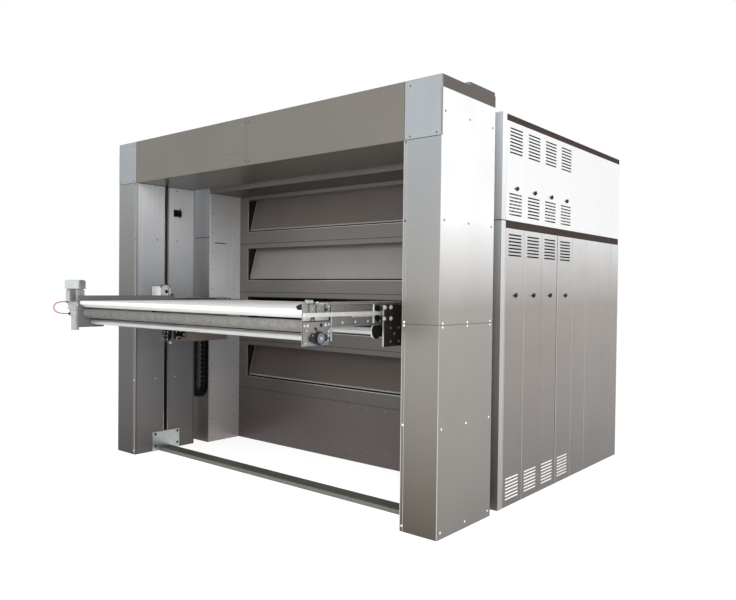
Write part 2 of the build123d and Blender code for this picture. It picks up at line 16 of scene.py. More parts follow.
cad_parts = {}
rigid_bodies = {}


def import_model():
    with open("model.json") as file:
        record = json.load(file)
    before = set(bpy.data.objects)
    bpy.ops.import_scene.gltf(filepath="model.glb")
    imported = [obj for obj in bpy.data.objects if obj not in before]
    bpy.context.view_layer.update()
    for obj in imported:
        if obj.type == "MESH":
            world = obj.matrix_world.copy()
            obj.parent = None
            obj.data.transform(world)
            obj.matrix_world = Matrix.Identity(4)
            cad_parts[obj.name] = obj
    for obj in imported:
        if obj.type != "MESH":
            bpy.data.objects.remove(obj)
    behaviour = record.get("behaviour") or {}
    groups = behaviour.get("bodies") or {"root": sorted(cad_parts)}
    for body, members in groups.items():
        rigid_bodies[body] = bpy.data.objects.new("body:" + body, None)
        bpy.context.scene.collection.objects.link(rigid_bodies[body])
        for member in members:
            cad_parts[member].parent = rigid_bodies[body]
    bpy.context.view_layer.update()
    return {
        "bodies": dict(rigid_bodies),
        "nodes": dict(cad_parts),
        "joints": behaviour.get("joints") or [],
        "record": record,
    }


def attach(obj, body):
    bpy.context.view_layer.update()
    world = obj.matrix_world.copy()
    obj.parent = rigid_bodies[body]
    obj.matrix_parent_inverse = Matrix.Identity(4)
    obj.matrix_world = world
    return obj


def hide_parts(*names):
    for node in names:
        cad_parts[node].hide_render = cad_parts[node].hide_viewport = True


MM = 0.001
Point = tuple[float, float, float]
LOG = logging.getLogger("deck_oven")


# ---------------------------------------------------------------- colour and nodes


def linear(code: str) -> tuple[float, float, float, float]:
    """Turns an sRGB hex value into a linear colour.

    Args:
        code: the colour, such as "#8a8985".

    Returns:
        Red, green, blue and full alpha.
    """
    parts = [int(code[i:i + 2], 16) / 255 for i in (1, 3, 5)]
    red, green, blue = (p / 12.92 if p <= 0.04045 else ((p + 0.055) / 1.055) ** 2.4 for p in parts)
    return red, green, blue, 1.0


def add_node(tree: bpy.types.NodeTree, kind: str, inputs: dict | None = None, **settings: object) -> bpy.types.Node:
    """Adds a node with its settings and links.

    Args:
        tree: the material's or world's node tree.
        kind: the node's type name.
        inputs: socket name or number, with the value or the output that feeds it.
        settings: the node's own properties.

    Returns:
        The new node.
    """
    node = tree.nodes.new(kind)
    for key, value in settings.items():
        setattr(node, key, value)
    for key, value in (inputs or {}).items():
        if isinstance(value, bpy.types.NodeSocket):
            tree.links.new(value, node.inputs[key])
        else:
            node.inputs[key].default_value = value
    return node


class Measure(Enum):
    """What a sheet's tones run along: a place in millimetres."""

    HEIGHT = "Z"


class Grain(Enum):
    """Which way the brushing of a sheet runs."""

    ACROSS = 0
    DEPTH = 1
    UPRIGHT = 2
    NONE = 3


@dataclass(frozen=True)
class Tones:
    """Up to three colours of one sheet, given from its foot to its head."""

    measure: Measure
    stops: tuple[tuple[float, str], ...]

    def colour(self, tree: bpy.types.NodeTree, places: bpy.types.Node) -> bpy.types.NodeSocket:
        """Adds the nodes that read the tones.

        Args:
            tree: the material's node tree.
            places: the texture coordinate node.

        Returns:
            The colour output.
        """
        split = add_node(tree, "ShaderNodeSeparateXYZ", {0: places.outputs["Object"]})
        place = split.outputs[self.measure.value]
        first, last = self.stops[0][0], self.stops[-1][0]
        reach = add_node(tree, "ShaderNodeMapRange",
                         {"Value": place, "From Min": first * MM, "From Max": last * MM})
        ramp = add_node(tree, "ShaderNodeValToRGB", {0: reach.outputs[0]})
        points = ramp.color_ramp.elements
        while len(points) < len(self.stops):
            points.new(0.5)
        for point, (value, code) in zip(points, self.stops):
            point.position = (value - first) / (last - first)
            point.color = linear(code)
        return ramp.outputs["Color"]


def plain(code: str) -> tuple[Tones, ...]:
    """One even colour."""
    return (Tones(Measure.HEIGHT, ((0.0, code), (3000.0, code))),)


# ---------------------------------------------------------------- finishes


@dataclass(frozen=True)
class Finish:
    """A surface: what the real material is and how it was made.

    front, side and level are the tones of faces that look along Y, X and Z; where they differ, they paint light and
    shade by which way a face looks.
    """

    name: str
    front: tuple[Tones, ...]
    side: tuple[Tones, ...] = ()
    level: tuple[Tones, ...] = ()
    slot: str = "stainless"
    metallic: float = 1.0
    roughness: float = 0.32
    grain: Grain = Grain.NONE
    streak_mm: float = 14.0
    streak_run_mm: float = 900.0
    streak: float = 0.05
    mottle_mm: float = 420.0
    mottle: float = 0.04
    bump_mm: float = 0.0
    bump_size_mm: float = 3.0
    coat: float = 0.0
    specular: float = 0.5

    def brushed(self, tree: bpy.types.NodeTree, places: bpy.types.Node) -> bpy.types.NodeSocket:
        """Adds the brushing: noise drawn out along the grain, as coarse as it needs to show.

        Real brush lines are 0.1 to 0.3 mm apart, far under a pixel, so they are drawn as bundles.
        """
        width, run = 1 / (self.streak_mm * MM), 1 / (self.streak_run_mm * MM)
        scale = [width, width, width]
        if self.grain is not Grain.NONE:
            scale[self.grain.value] = run
        place = add_node(tree, "ShaderNodeVectorMath", {0: places.outputs["Object"], 1: scale},
                         operation="MULTIPLY")
        return add_node(tree, "ShaderNodeTexNoise",
                        {"Vector": place.outputs[0], "Scale": 1.0, "Detail": 3.0, "Roughness": 0.6}).outputs[0]

    def tinted(self, tree: bpy.types.NodeTree, colour: bpy.types.NodeSocket, noise: bpy.types.NodeSocket,
               depth: float) -> bpy.types.NodeSocket:
        """Lightens and darkens a colour by a noise, depth either way."""
        level = add_node(tree, "ShaderNodeMapRange", {"Value": noise, "From Min": 0.25, "From Max": 0.75,
                                                      "To Min": 1 - depth, "To Max": 1 + depth})
        return add_node(tree, "ShaderNodeMix", {0: 1.0, 6: colour, 7: level.outputs[0]},
                        data_type="RGBA", blend_type="MULTIPLY").outputs[2]

    def material(self) -> bpy.types.Material:
        """Makes the material, or gives the one already made.

        Returns:
            The material.
        """
        made = bpy.data.materials.get(self.name)
        if made:
            return made
        made = bpy.data.materials.new(self.name)
        made.use_nodes = True
        tree = made.node_tree
        tree.nodes.clear()
        places = add_node(tree, "ShaderNodeTexCoord")
        facing = add_node(tree, "ShaderNodeSeparateXYZ", {0: places.outputs["Normal"]})
        colour = self.front[0].colour(tree, places)
        # Faces turned toward X or Z blend into the side or level tones: painted light and shade by facing.
        for tones, letter in ((self.side, "X"), (self.level, "Z")):
            if tones:
                turned = add_node(tree, "ShaderNodeMath", {0: facing.outputs[letter]}, operation="ABSOLUTE")
                share = add_node(tree, "ShaderNodeMapRange",
                                 {"Value": turned.outputs[0], "From Min": 0.35, "From Max": 0.8},
                                 interpolation_type="SMOOTHSTEP")
                colour = add_node(tree, "ShaderNodeMix",
                                  {0: share.outputs[0], 6: colour, 7: tones[0].colour(tree, places)},
                                  data_type="RGBA").outputs[2]
        streaks = self.brushed(tree, places)
        clouds = add_node(tree, "ShaderNodeTexNoise", {"Vector": places.outputs["Object"],
                                                       "Scale": 1000 / self.mottle_mm, "Detail": 2.0})
        colour = self.tinted(tree, colour, streaks, self.streak)
        colour = self.tinted(tree, colour, clouds.outputs[0], self.mottle)
        rough = add_node(tree, "ShaderNodeMapRange", {"Value": streaks, "From Min": 0.25, "From Max": 0.75,
                                                      "To Min": self.roughness * 0.85,
                                                      "To Max": self.roughness * 1.15})
        shader = add_node(tree, "ShaderNodeBsdfPrincipled",
                          {"Base Color": colour, "Roughness": rough.outputs[0], "Metallic": self.metallic,
                           "Coat Weight": self.coat, "Specular IOR Level": self.specular})
        if self.bump_mm:
            fine = add_node(tree, "ShaderNodeTexNoise", {"Vector": places.outputs["Object"],
                                                         "Scale": 1000 / self.bump_size_mm, "Detail": 3.0})
            raised = add_node(tree, "ShaderNodeBump", {"Height": fine.outputs[0], "Strength": 0.6,
                                                       "Distance": self.bump_mm * MM})
            tree.links.new(raised.outputs[0], shader.inputs["Normal"])
        add_node(tree, "ShaderNodeOutputMaterial", {0: shader.outputs[0]})
        return made


# Brushed stainless sheet, 1.5 mm, grain 240: a soft metal sheen. Each group of sheets gets its own
# colours, lit and shaded copies of one stainless: painted shade toward the floor and in the portal,
# painted light high on the side faces. Deep in the portal the brushing scatters more than it mirrors.
SHADED = 0.3


def upright(foot: str, middle: str, head: str, middle_at: float = 1500.0, head_at: float = 3000.0) -> tuple[Tones, ...]:
    """A sheet that is one colour at its foot, one half way up and one at its head: painted shade and light of how the
    light falls down the sheet.
    """
    return (Tones(Measure.HEIGHT, ((0.0, foot), (middle_at, middle), (head_at, head))),)


# The towers are lit and shaded copies of one stainless: painted shade keeps the left tower dark at its foot, the left
# inner face goes to painted light near white at its head, and the right tower's side turns to painted light near white
# above 2.1 m.
LEFT_TOWER = Finish("brushed_stainless_left_tower", upright("#2e2926", "#605d5b", "#8a8f8e"),
                    upright("#4a4440", "#767678", "#b4b6ba"), plain("#6a6460"), grain=Grain.UPRIGHT,
                    metallic=SHADED, roughness=0.36)
LEFT_TOWER_INSIDE = Finish("brushed_stainless_left_inside", upright("#4a4440", "#85868a", "#b4b6ba"),
                           upright("#5c5652", "#94969a", "#f0f1f3"), plain("#6a6460"), grain=Grain.UPRIGHT,
                           metallic=SHADED, roughness=0.36)
RIGHT_TOWER = Finish("brushed_stainless_right_tower", upright("#58514a", "#98958f", "#a4aab0"),
                     upright("#7a7672", "#a5a09c", "#fafafa", head_at=2100.0), plain("#6a6460"), streak_mm=7.0,
                     streak=0.035, metallic=0.85)
# Header, hood, deck fronts and base panel: the same stainless in lit and shaded copies, with painted shade under the
# header and the hood, low on the deck fronts and over the base panel.
HEADER = Finish("brushed_stainless_header", plain("#736f69"), plain("#8b8782"), plain("#6a655f"),
                grain=Grain.ACROSS, streak=0.03, metallic=0.6)
HOOD = Finish("brushed_stainless_hood", plain("#787571"), plain("#6a6460"), plain("#4a423e"), grain=Grain.ACROSS,
              metallic=SHADED, roughness=0.36)
DECK_FRONT = Finish("brushed_stainless_deck_fronts", upright("#35302d", "#75726e", "#6e6a66"), plain("#4d4540"),
                    plain("#6a645f"), grain=Grain.ACROSS, metallic=SHADED, roughness=0.36)
BASE_PANEL = Finish("brushed_stainless_base", plain("#57504f"), plain("#5a5350"), plain("#5a5350"),
                    grain=Grain.ACROSS, mottle=0.06, metallic=SHADED, roughness=0.36)
# The four flaps are one stainless, each in its own painted shade or light: the lower two darkest, the third lightest.
DOORS = {
    deck: Finish(f"brushed_stainless_door_{deck}", plain(colour), plain("#3a322d"), plain("#6a635c"),
                 grain=Grain.ACROSS, metallic=SHADED, roughness=0.36)
    for deck, colour in ((1, "#5e5651"), (2, "#5c5450"), (3, "#96948f"), (4, "#7a736e"))
}
# Cabinet fronts, cases and panels: lit and shaded copies of one stainless, darker at the foot and turning to painted
# light near white high on the side faces; the upper panels are painted glare all over.
CABINET_FRONT_RIGHT = Finish("brushed_stainless_cabinet_front", upright("#544e49", "#787573", "#c4c9ce"),
                             upright("#8f8b87", "#bcbab8", "#fafafa"), plain("#8b9197"), grain=Grain.UPRIGHT,
                             metallic=SHADED, roughness=0.36)
CABINET = Finish("stainless_cabinet_case", upright("#6e6661", "#85807c", "#b8bcc0"),
                 upright("#a39c99", "#cfd1d5", "#b8b3af"), plain("#8a8681"), grain=Grain.UPRIGHT,
                 metallic=SHADED, roughness=0.36)
UPPER_PANELS = Finish("brushed_stainless_upper_panels", plain("#dcdcdc"), plain("#fafafb"), plain("#c9c9c9"),
                      grain=Grain.UPRIGHT, streak=0.015, mottle=0.015, metallic=0.85)
LOWER_PANELS = Finish("brushed_stainless_lower_panels", plain("#8a8785"), upright("#6a6663", "#9f9893", "#e0e0e0",
                                                                                  head_at=2100.0), plain("#9a9794"),
                      grain=Grain.DEPTH, streak=0.045, streak_mm=26.0, streak_run_mm=420.0, metallic=0.85)
REAR = Finish("brushed_stainless_rear", upright("#77726e", "#9c9a97", "#c0c0c0"), (), plain("#9c9a97"),
              grain=Grain.UPRIGHT)
# Corner sheets and roof hatches of the header: the same stainless in their own painted light and shade, the corner
# sheets lighter and cooler, the hatches lighter on top and darker on their sides.
CORNER_SHEET = Finish("brushed_stainless_corner", plain("#979da1"), grain=Grain.UPRIGHT, streak_mm=7.0,
                      streak=0.03, metallic=0.6)
HATCH = Finish("brushed_stainless_hatch", plain("#777471"), plain("#504d4a"), plain("#a9a7a4"), metallic=SHADED,
               roughness=0.4, grain=Grain.ACROSS, streak_mm=6.0)

# Dark umber strips along the cabinets and on the tower caps: an even satin brown that hardly mirrors.
UMBER_TRIM = Finish("umber_trim_strips", plain("#352b28"), plain("#3d322e"), plain("#46393a"), slot="brown_trim",
                    metallic=0.0, roughness=0.6, streak=0.02, mottle=0.03, specular=0.1)
CAP_TRIM = Finish("umber_tower_caps", plain("#665e54"), plain("#564d48"), plain("#6c625d"), slot="brown_trim",
                  metallic=0.4, roughness=0.4, streak=0.02, mottle=0.03)
# Heat-browned steel of the baking chamber: dull, dark and uneven.
CHAMBER_STEEL = Finish("heat_browned_steel", plain("#3b3430"), plain("#352e2a"), plain("#2f2925"),
                       slot="chamber_steel", metallic=0.7, roughness=0.55, mottle=0.15, bump_mm=0.4, bump_size_mm=12)
# Cement-bonded baking sole: matt, grainy grey.
BAKING_SOLE = Finish("baking_sole_stone", plain("#4b4642"), slot="baking_sole", metallic=0.0, roughness=0.85,
                     mottle=0.12, bump_mm=0.8, bump_size_mm=5)
# Black powder coat on the lift's plates and arms: fine orange peel, low gloss.
BLACK_COAT = Finish("black_powder_coat", plain("#1a1613"), plain("#1d1916"), plain("#26211e"), slot="dark_steel",
                    metallic=0.0, roughness=0.45, streak=0.03, mottle=0.05, bump_mm=0.15, bump_size_mm=2.5)
# Left lift arm and carriage plate: painted shade, a dull grey-brown that matches the shaded sheet around them, no
# gloss.
SHADED_PLATE = Finish("left_plate_painted_shade", plain("#6f6660"), plain("#857b75"), plain("#857c76"), slot="dark_steel",
                      metallic=0.2, roughness=0.5, streak=0.04, mottle=0.06)
# Mill-dark steel of the guide posts behind the slots.
MILL_STEEL = Finish("mill_dark_steel", plain("#2b2421"), plain("#3a3330"), plain("#2b2421"), slot="dark_steel",
                    metallic=0.8, roughness=0.4, mottle=0.08)
# Galvanised channel on the floor: dull grey-green zinc with soft spangle.
FLOOR_CHANNEL = Finish("galvanised_channel", plain("#666862"), plain("#5e6267"), plain("#605d56"),
                       slot="dark_steel", roughness=0.42, grain=Grain.ACROSS, mottle=0.08, mottle_mm=60,
                       metallic=SHADED)
# Zinc-plated plate: pale blue-grey, soft sheen.
ZINC_PLATE = Finish("zinc_plated_steel", plain("#aab2b4"), plain("#bcc3c2"), plain("#c4c6c4"), slot="zinc_plate",
                    metallic=0.9, roughness=0.34, mottle=0.06, mottle_mm=40, streak=0.03)
# Ground steel of the table's side frames: fine lines along the table, with a painted highlight on their tops.
FRAME_PLATE = Finish("ground_steel_side_frame", plain("#8f8e8c"), plain("#8b8987"), plain("#d2d0cc"),
                     slot="zinc_plate", metallic=0.7, roughness=0.3, grain=Grain.DEPTH, streak=0.08, mottle=0.08,
                     mottle_mm=70)
# The left frame is the same ground steel in painted shade, darkest on top.
LEFT_FRAME = Finish("ground_steel_left_frame", plain("#77767a"), plain("#6a6a6d"), plain("#3a3633"),
                    slot="zinc_plate", metallic=0.3, roughness=0.4, streak=0.05, mottle=0.06, mottle_mm=60)
# Ground bar of the rack teeth and the frames' edge strips: its pale tone, near white on top, is painted highlight.
BRIGHT_BAR = Finish("ground_bright_bar", plain("#cfcfcd"), plain("#dededc"), plain("#f4f4f3"), slot="zinc_plate",
                    roughness=0.25, streak=0.05, metallic=0.35)
# Woven polyester belt, white, close weave: matt with a faint thread pattern.
BELT_CLOTH = Finish("woven_white_belt", plain("#dcdddb"), plain("#b0b0ae"), plain("#e6e7e5"), slot="white_belt",
                    metallic=0.0, roughness=0.75, grain=Grain.ACROSS, streak_mm=10, streak_run_mm=700,
                    streak=0.025, mottle=0.02, bump_mm=0.25, bump_size_mm=4)
# Rubber lagging with a rubbed, floury grain on the drive roller.
ROLLER_LAGGING = Finish("grained_roller_lagging", plain("#6e6c69"), slot="grip_rubber", metallic=0.0,
                        roughness=0.7, streak=0.16, streak_mm=9, mottle=0.2, mottle_mm=30, bump_mm=0.8,
                        bump_size_mm=8, specular=0.2)
# Ground and polished tube.
BRIGHT_TUBE = Finish("ground_bright_tube", plain("#b9baba"), plain("#2b2724"), slot="polished_tube", metallic=0.5,
                     roughness=0.28, grain=Grain.ACROSS, streak=0.03)
# Moulded nylon of the energy chain and covers: deep black, fine texture.
BLACK_NYLON = Finish("moulded_black_nylon", plain("#070605"), plain("#090807"), plain("#0e0c0b"),
                     slot="black_plastic", metallic=0.0, roughness=0.5, streak=0.02, mottle=0.05, bump_mm=0.1,
                     bump_size_mm=1.5, specular=0.2)
# Two-pack grey paint over cast aluminium fins, with a bright pressed cowl on top.
MOTOR_PAINT = Finish("grey_motor_paint", plain("#a4a5a8"), (), plain("#b4b6b8"), slot="motor_paint",
                     metallic=0.2, roughness=0.3, streak=0.03, mottle=0.06, mottle_mm=40)
POLISHED_COWL = Finish("polished_pressed_cowl", plain("#cfd3d3"), (), plain("#d4d8d6"), slot="motor_paint",
                       metallic=0.85, roughness=0.22, streak=0.03)
CAST_ALUMINIUM = Finish("die_cast_aluminium", plain("#c4c4c1"), plain("#9c9a98"), plain("#b5b5b2"),
                        slot="cast_aluminium", metallic=0.85, roughness=0.38, mottle=0.1, mottle_mm=22,
                        bump_mm=0.2, bump_size_mm=3)
# Polished pressed steel of the feed motor's housing.
POLISHED_HOUSING = Finish("polished_pressed_steel", plain("#dcdddd"), plain("#e4e5e5"), plain("#8f8d8b"),
                          slot="cast_aluminium", roughness=0.25, streak=0.03, metallic=0.6)
# Extruded PUR sheath, signal orange, slightly dulled.
ORANGE_SHEATH = Finish("orange_cable_sheath", plain("#962c00"), slot="orange_lead", metallic=0.0, roughness=0.5,
                       streak=0.03, mottle=0.04)
# Zinc-plated set screws of the table: small and bright, with a dark drive.
TABLE_BOLT = Finish("zinc_plated_bolts", plain("#9a9a98"), plain("#d2d2d0"), plain("#b8b8b6"), slot="zinc_plate",
                    metallic=0.5, roughness=0.3, streak=0.02, mottle=0.03)
# Ground rack rail, as bright as its bolts, near white on top with painted highlight.
RAIL = Finish("ground_rack_rail", plain("#bdbcba"), plain("#bab9b7"), plain("#f4f4f4"), slot="zinc_plate",
              roughness=0.3, streak=0.06, metallic=0.35)
# Bearing steel: dark blue-grey rings, with a painted sheen on their sides.
BEARING_STEEL = Finish("blue_grey_bearing_steel", plain("#3f4b5e"), plain("#566479"), plain("#4d5a6e"),
                       slot="dark_steel", metallic=0.5, roughness=0.3, streak=0.03, mottle=0.08, mottle_mm=20)
# Ground round bar along the foot of each flap, pale with painted highlight.
DOOR_BAR = Finish("ground_door_bar", plain("#a5a3a1"), plain("#b0aeac"), (), metallic=SHADED, roughness=0.3,
                  streak=0.03)
# Stainless screw heads: small bright domes, dark where the drive is.
SCREW_STEEL = Finish("stainless_screw_heads", plain("#8d8a86"), plain("#a5a29f"), plain("#a5a29f"),
                     metallic=0.9, roughness=0.3, streak=0.02, mottle=0.03)
# Screw heads in painted shade, where they stand against bright sheet and in the recesses.
DARK_SCREW = Finish("screw_heads_painted_shade", plain("#3b3835"), plain("#4b4744"), plain("#4b4744"),
                    slot="dark_steel", metallic=0.6, roughness=0.4, streak=0.02, mottle=0.03)
# The same heads in painted highlight, where they catch the light low on the sheet.
BRIGHT_SCREW = Finish("bolts_painted_highlight", plain("#e4e4e2"), plain("#f8f8f6"), plain("#d0d0ce"),
                      slot="zinc_plate", metallic=0.35, roughness=0.25, streak=0.02, mottle=0.03)
SEAM_SHADOW = Finish("joint_shadow_line", plain("#2f2a27"), plain("#3b3633"), plain("#2f2a27"),
                     slot="dark_steel", metallic=0.3, roughness=0.6, streak=0.02)
# Folded edges: their pale tone is painted highlight, going near white high on the side faces. The pale fold is painted
# glare, laid over the joints of the upper panels.
BRIGHT_FOLD = Finish("sheet_fold_painted_highlight", plain("#c9c9c8"), upright("#adaaa8", "#d0cfce", "#fafafa", head_at=2100.0),
                     plain("#d0d0d0"), roughness=0.25, streak=0.02)
PALE_FOLD = Finish("sheet_painted_glare", plain("#f2f2f3"), plain("#f6f6f8"), plain("#f2f2f3"), roughness=0.3,
                   streak=0.01, mottle=0.01, metallic=0.85)
# The white sheet behind the lowest louvres paints the light seen through the slots; the dark sheet behind the others
# paints the shade inside the cabinet, and also marks the dark gaps on the end plate.
WHITE_LINER = Finish("white_sheet_painted_light", plain("#f8f8f8"), slot="white_belt", metallic=0.0, roughness=0.8,
                     streak=0.01, mottle=0.01)
DARK_LINER = Finish("dark_cabinet_inside", plain("#120e0c"), slot="dark_steel", metallic=0.0, roughness=0.9,
                    streak=0.02, specular=0.1)
WIRE_MESH = Finish("pale_wire_mesh", plain("#bdb9a8"), slot="zinc_plate", metallic=0.3, roughness=0.5,
                   streak=0.02)


# ---------------------------------------------------------------- shapes


class Shape:
    """Sheet, block and turned forms, gathered into one mesh, in millimetres."""

    def __init__(self) -> None:
        """Starts with nothing in the mesh."""
        self.points: list[Vector] = []
        self.faces: list[tuple[int, ...]] = []

    def add(self, points: list[Vector], faces: list[tuple[int, ...]]) -> "Shape":
        """Adds loose points and the faces between them."""
        start = len(self.points)
        self.points += points
        self.faces += [tuple(start + i for i in face) for face in faces]
        return self

    def stamp(self, other: "Shape", place: Matrix) -> "Shape":
        """Adds a copy of another shape, moved by a matrix."""
        return self.add([place @ point for point in other.points], other.faces)

    def flatten(self, face: float, share: float, low: float, high: float) -> "Shape":
        """Keeps a share of how far points stand right of a face, for those between two heights."""
        for point in self.points:
            if low < point.z < high and point.x > face:
                point.x = face + share * (point.x - face)
        return self

    def block(self, low: Point, high: Point, chamfer: float = 0.0) -> "Shape":
        """Adds a block with broken edges.

        Args:
            low: the lowest corner.
            high: the highest corner.
            chamfer: the width of the broken edge.

        Returns:
            The shape itself.
        """
        ends = (Vector(low), Vector(high))
        corners = [(i, j, k) for i in (0, 1) for j in (0, 1) for k in (0, 1)]
        number, points = {}, []
        for corner in corners:
            for axis in range(3):
                point = Vector((ends[corner[0]].x, ends[corner[1]].y, ends[corner[2]].z))
                for other in range(3):
                    if other != axis:
                        point[other] += chamfer if corner[other] == 0 else -chamfer
                number[corner, axis] = len(points)
                points.append(point)
        faces = []
        for axis in range(3):
            one, two = [a for a in range(3) if a != axis]
            for sign in (0, 1):
                ring = []
                for a, b in ((0, 0), (1, 0), (1, 1), (0, 1)):
                    corner = [0, 0, 0]
                    corner[axis], corner[one], corner[two] = sign, a, b
                    ring.append(number[tuple(corner), axis])
                faces.append(tuple(ring))
            if chamfer:
                for a in (0, 1):
                    for b in (0, 1):
                        start, end = [0, 0, 0], [0, 0, 0]
                        start[one] = end[one] = a
                        start[two] = end[two] = b
                        end[axis] = 1
                        start, end = tuple(start), tuple(end)
                        faces.append((number[start, one], number[end, one], number[end, two], number[start, two]))
        if chamfer:
            faces += [tuple(number[corner, axis] for axis in range(3)) for corner in corners]
        return self.add(points, faces)

    def turned(self, at: Point, facing: Point, profile: list[tuple[float, float]], sides: int = 24,
               turn: float = 0.0) -> "Shape":
        """Adds a form turned on a lathe.

        Args:
            at: where the axis starts.
            facing: the direction of the axis.
            profile: radius and distance along the axis, from one end to the other.
            sides: how many flats make the circle.
            turn: the angle of the first flat, in degrees.

        Returns:
            The shape itself.
        """
        axis = Vector(facing).normalized()
        place = Matrix.Translation(Vector(at)) @ axis.to_track_quat("Z", "Y").to_matrix().to_4x4()
        points, rings = [], []
        for radius, along in profile:
            if radius <= 0:
                rings.append([len(points)])
                points.append(place @ Vector((0, 0, along)))
                continue
            rings.append(list(range(len(points), len(points) + sides)))
            for step in range(sides):
                angle = math.radians(turn) + 2 * math.pi * step / sides
                points.append(place @ Vector((radius * math.cos(angle), radius * math.sin(angle), along)))
        faces = []
        for first, second in zip(rings, rings[1:]):
            for step in range(sides):
                ahead = (step + 1) % sides
                if len(first) == 1 and len(second) > 1:
                    faces.append((first[0], second[ahead], second[step]))
                elif len(second) == 1 and len(first) > 1:
                    faces.append((first[step], first[ahead], second[0]))
                elif len(first) > 1:
                    faces.append((first[step], first[ahead], second[ahead], second[step]))
        for ring, order in ((rings[0], -1), (rings[-1], 1)):
            if len(ring) > 1:
                faces.append(tuple(ring[::order]))
        return self.add(points, faces)

    def rod(self, at: Point, facing: Point, length: float, radius: float, sides: int = 24,
            chamfer: float = 0.0) -> "Shape":
        """Adds a round bar with broken ends."""
        return self.turned(at, facing, [(radius - chamfer, 0), (radius, chamfer), (radius, length - chamfer),
                                        (radius - chamfer, length)], sides)

    def prism(self, outline: list[tuple[float, float]], normal: Grain, low: float, high: float) -> "Shape":
        """Adds a plate cut to an outline.

        Args:
            outline: the corners, in the two axes other than the normal, in X, Y, Z order.
            normal: the axis through the plate's thickness.
            low: where the plate starts on that axis.
            high: where it ends.

        Returns:
            The shape itself.
        """
        points = []
        for level in (low, high):
            for pair in outline:
                point = list(pair)
                point.insert(normal.value, level)
                points.append(Vector(point))
        count = len(outline)
        faces = [tuple(range(count)), tuple(range(2 * count - 1, count - 1, -1))]
        faces += [(i, (i + 1) % count, count + (i + 1) % count, count + i) for i in range(count)]
        return self.add(points, faces)

    def screw(self, at: Point, facing: Point, radius: float = 6.0, height: float = 2.6) -> "Shape":
        """Adds a domed screw head with its drive recess."""
        return self.turned(at, facing, [(radius, 0), (radius, 0.25 * height), (0.86 * radius, 0.75 * height),
                                        (0.6 * radius, height), (0.36 * radius, height),
                                        (0.3 * radius, 0.4 * height), (0, 0.4 * height)], 12)

    def bolt(self, at: Point, facing: Point, across: float = 13.0, height: float = 5.3) -> "Shape":
        """Adds a hexagon bolt head on its washer."""
        self.turned(at, facing, [(0.85 * across, 0), (0.85 * across, 1.4), (0.8 * across, 1.6), (0, 1.6)], 20)
        return self.turned(at, facing, [(across / 2 * 1.15, 1.6), (across / 2 * 1.15, height - 0.8),
                                        (across / 2, height), (0, height)], 6)

    def piece(self, name: str, finish: Finish, body: str, smooth: float = 35.0) -> bpy.types.Object:
        """Makes the object, with its finish and the body that it rides on.

        Args:
            name: the piece's name.
            finish: its finish.
            body: the CAD body.
            smooth: edges that turn less than this many degrees are shaded smooth.

        Returns:
            The object.
        """
        mesh = bpy.data.meshes.new(name)
        mesh.from_pydata([point * MM for point in self.points], [], self.faces)
        shell = bmesh.new()
        shell.from_mesh(mesh)
        bmesh.ops.recalc_face_normals(shell, faces=shell.faces)
        shell.to_mesh(mesh)
        shell.free()
        mesh.shade_smooth()
        mesh.set_sharp_from_angle(angle=math.radians(smooth))
        mesh.materials.append(finish.material())
        made = bpy.data.objects.new(name, mesh)
        bpy.context.scene.collection.objects.link(made)
        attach(made, body)
        LOG.info("%s: %d faces, on %s", name, len(mesh.polygons), body)
        return made


def dress(frame: dict, finish: Finish, *nodes: str) -> None:
    """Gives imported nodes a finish.

    Args:
        finish: the finish.
        nodes: the nodes' names.
    """
    for node in nodes:
        mesh_object = frame["nodes"][node]
        for slot in mesh_object.material_slots:
            slot.material = finish.material()
        LOG.info("%s: %s", node, finish.name)


RIGHT, LEFT = (1, 0, 0), (-1, 0, 0)
FORWARD, BACK = (0, -1, 0), (0, 1, 0)
UP, DOWN = (0, 0, 1), (0, 0, -1)
HANDS = (-1, 1)


# ---------------------------------------------------------------- studio


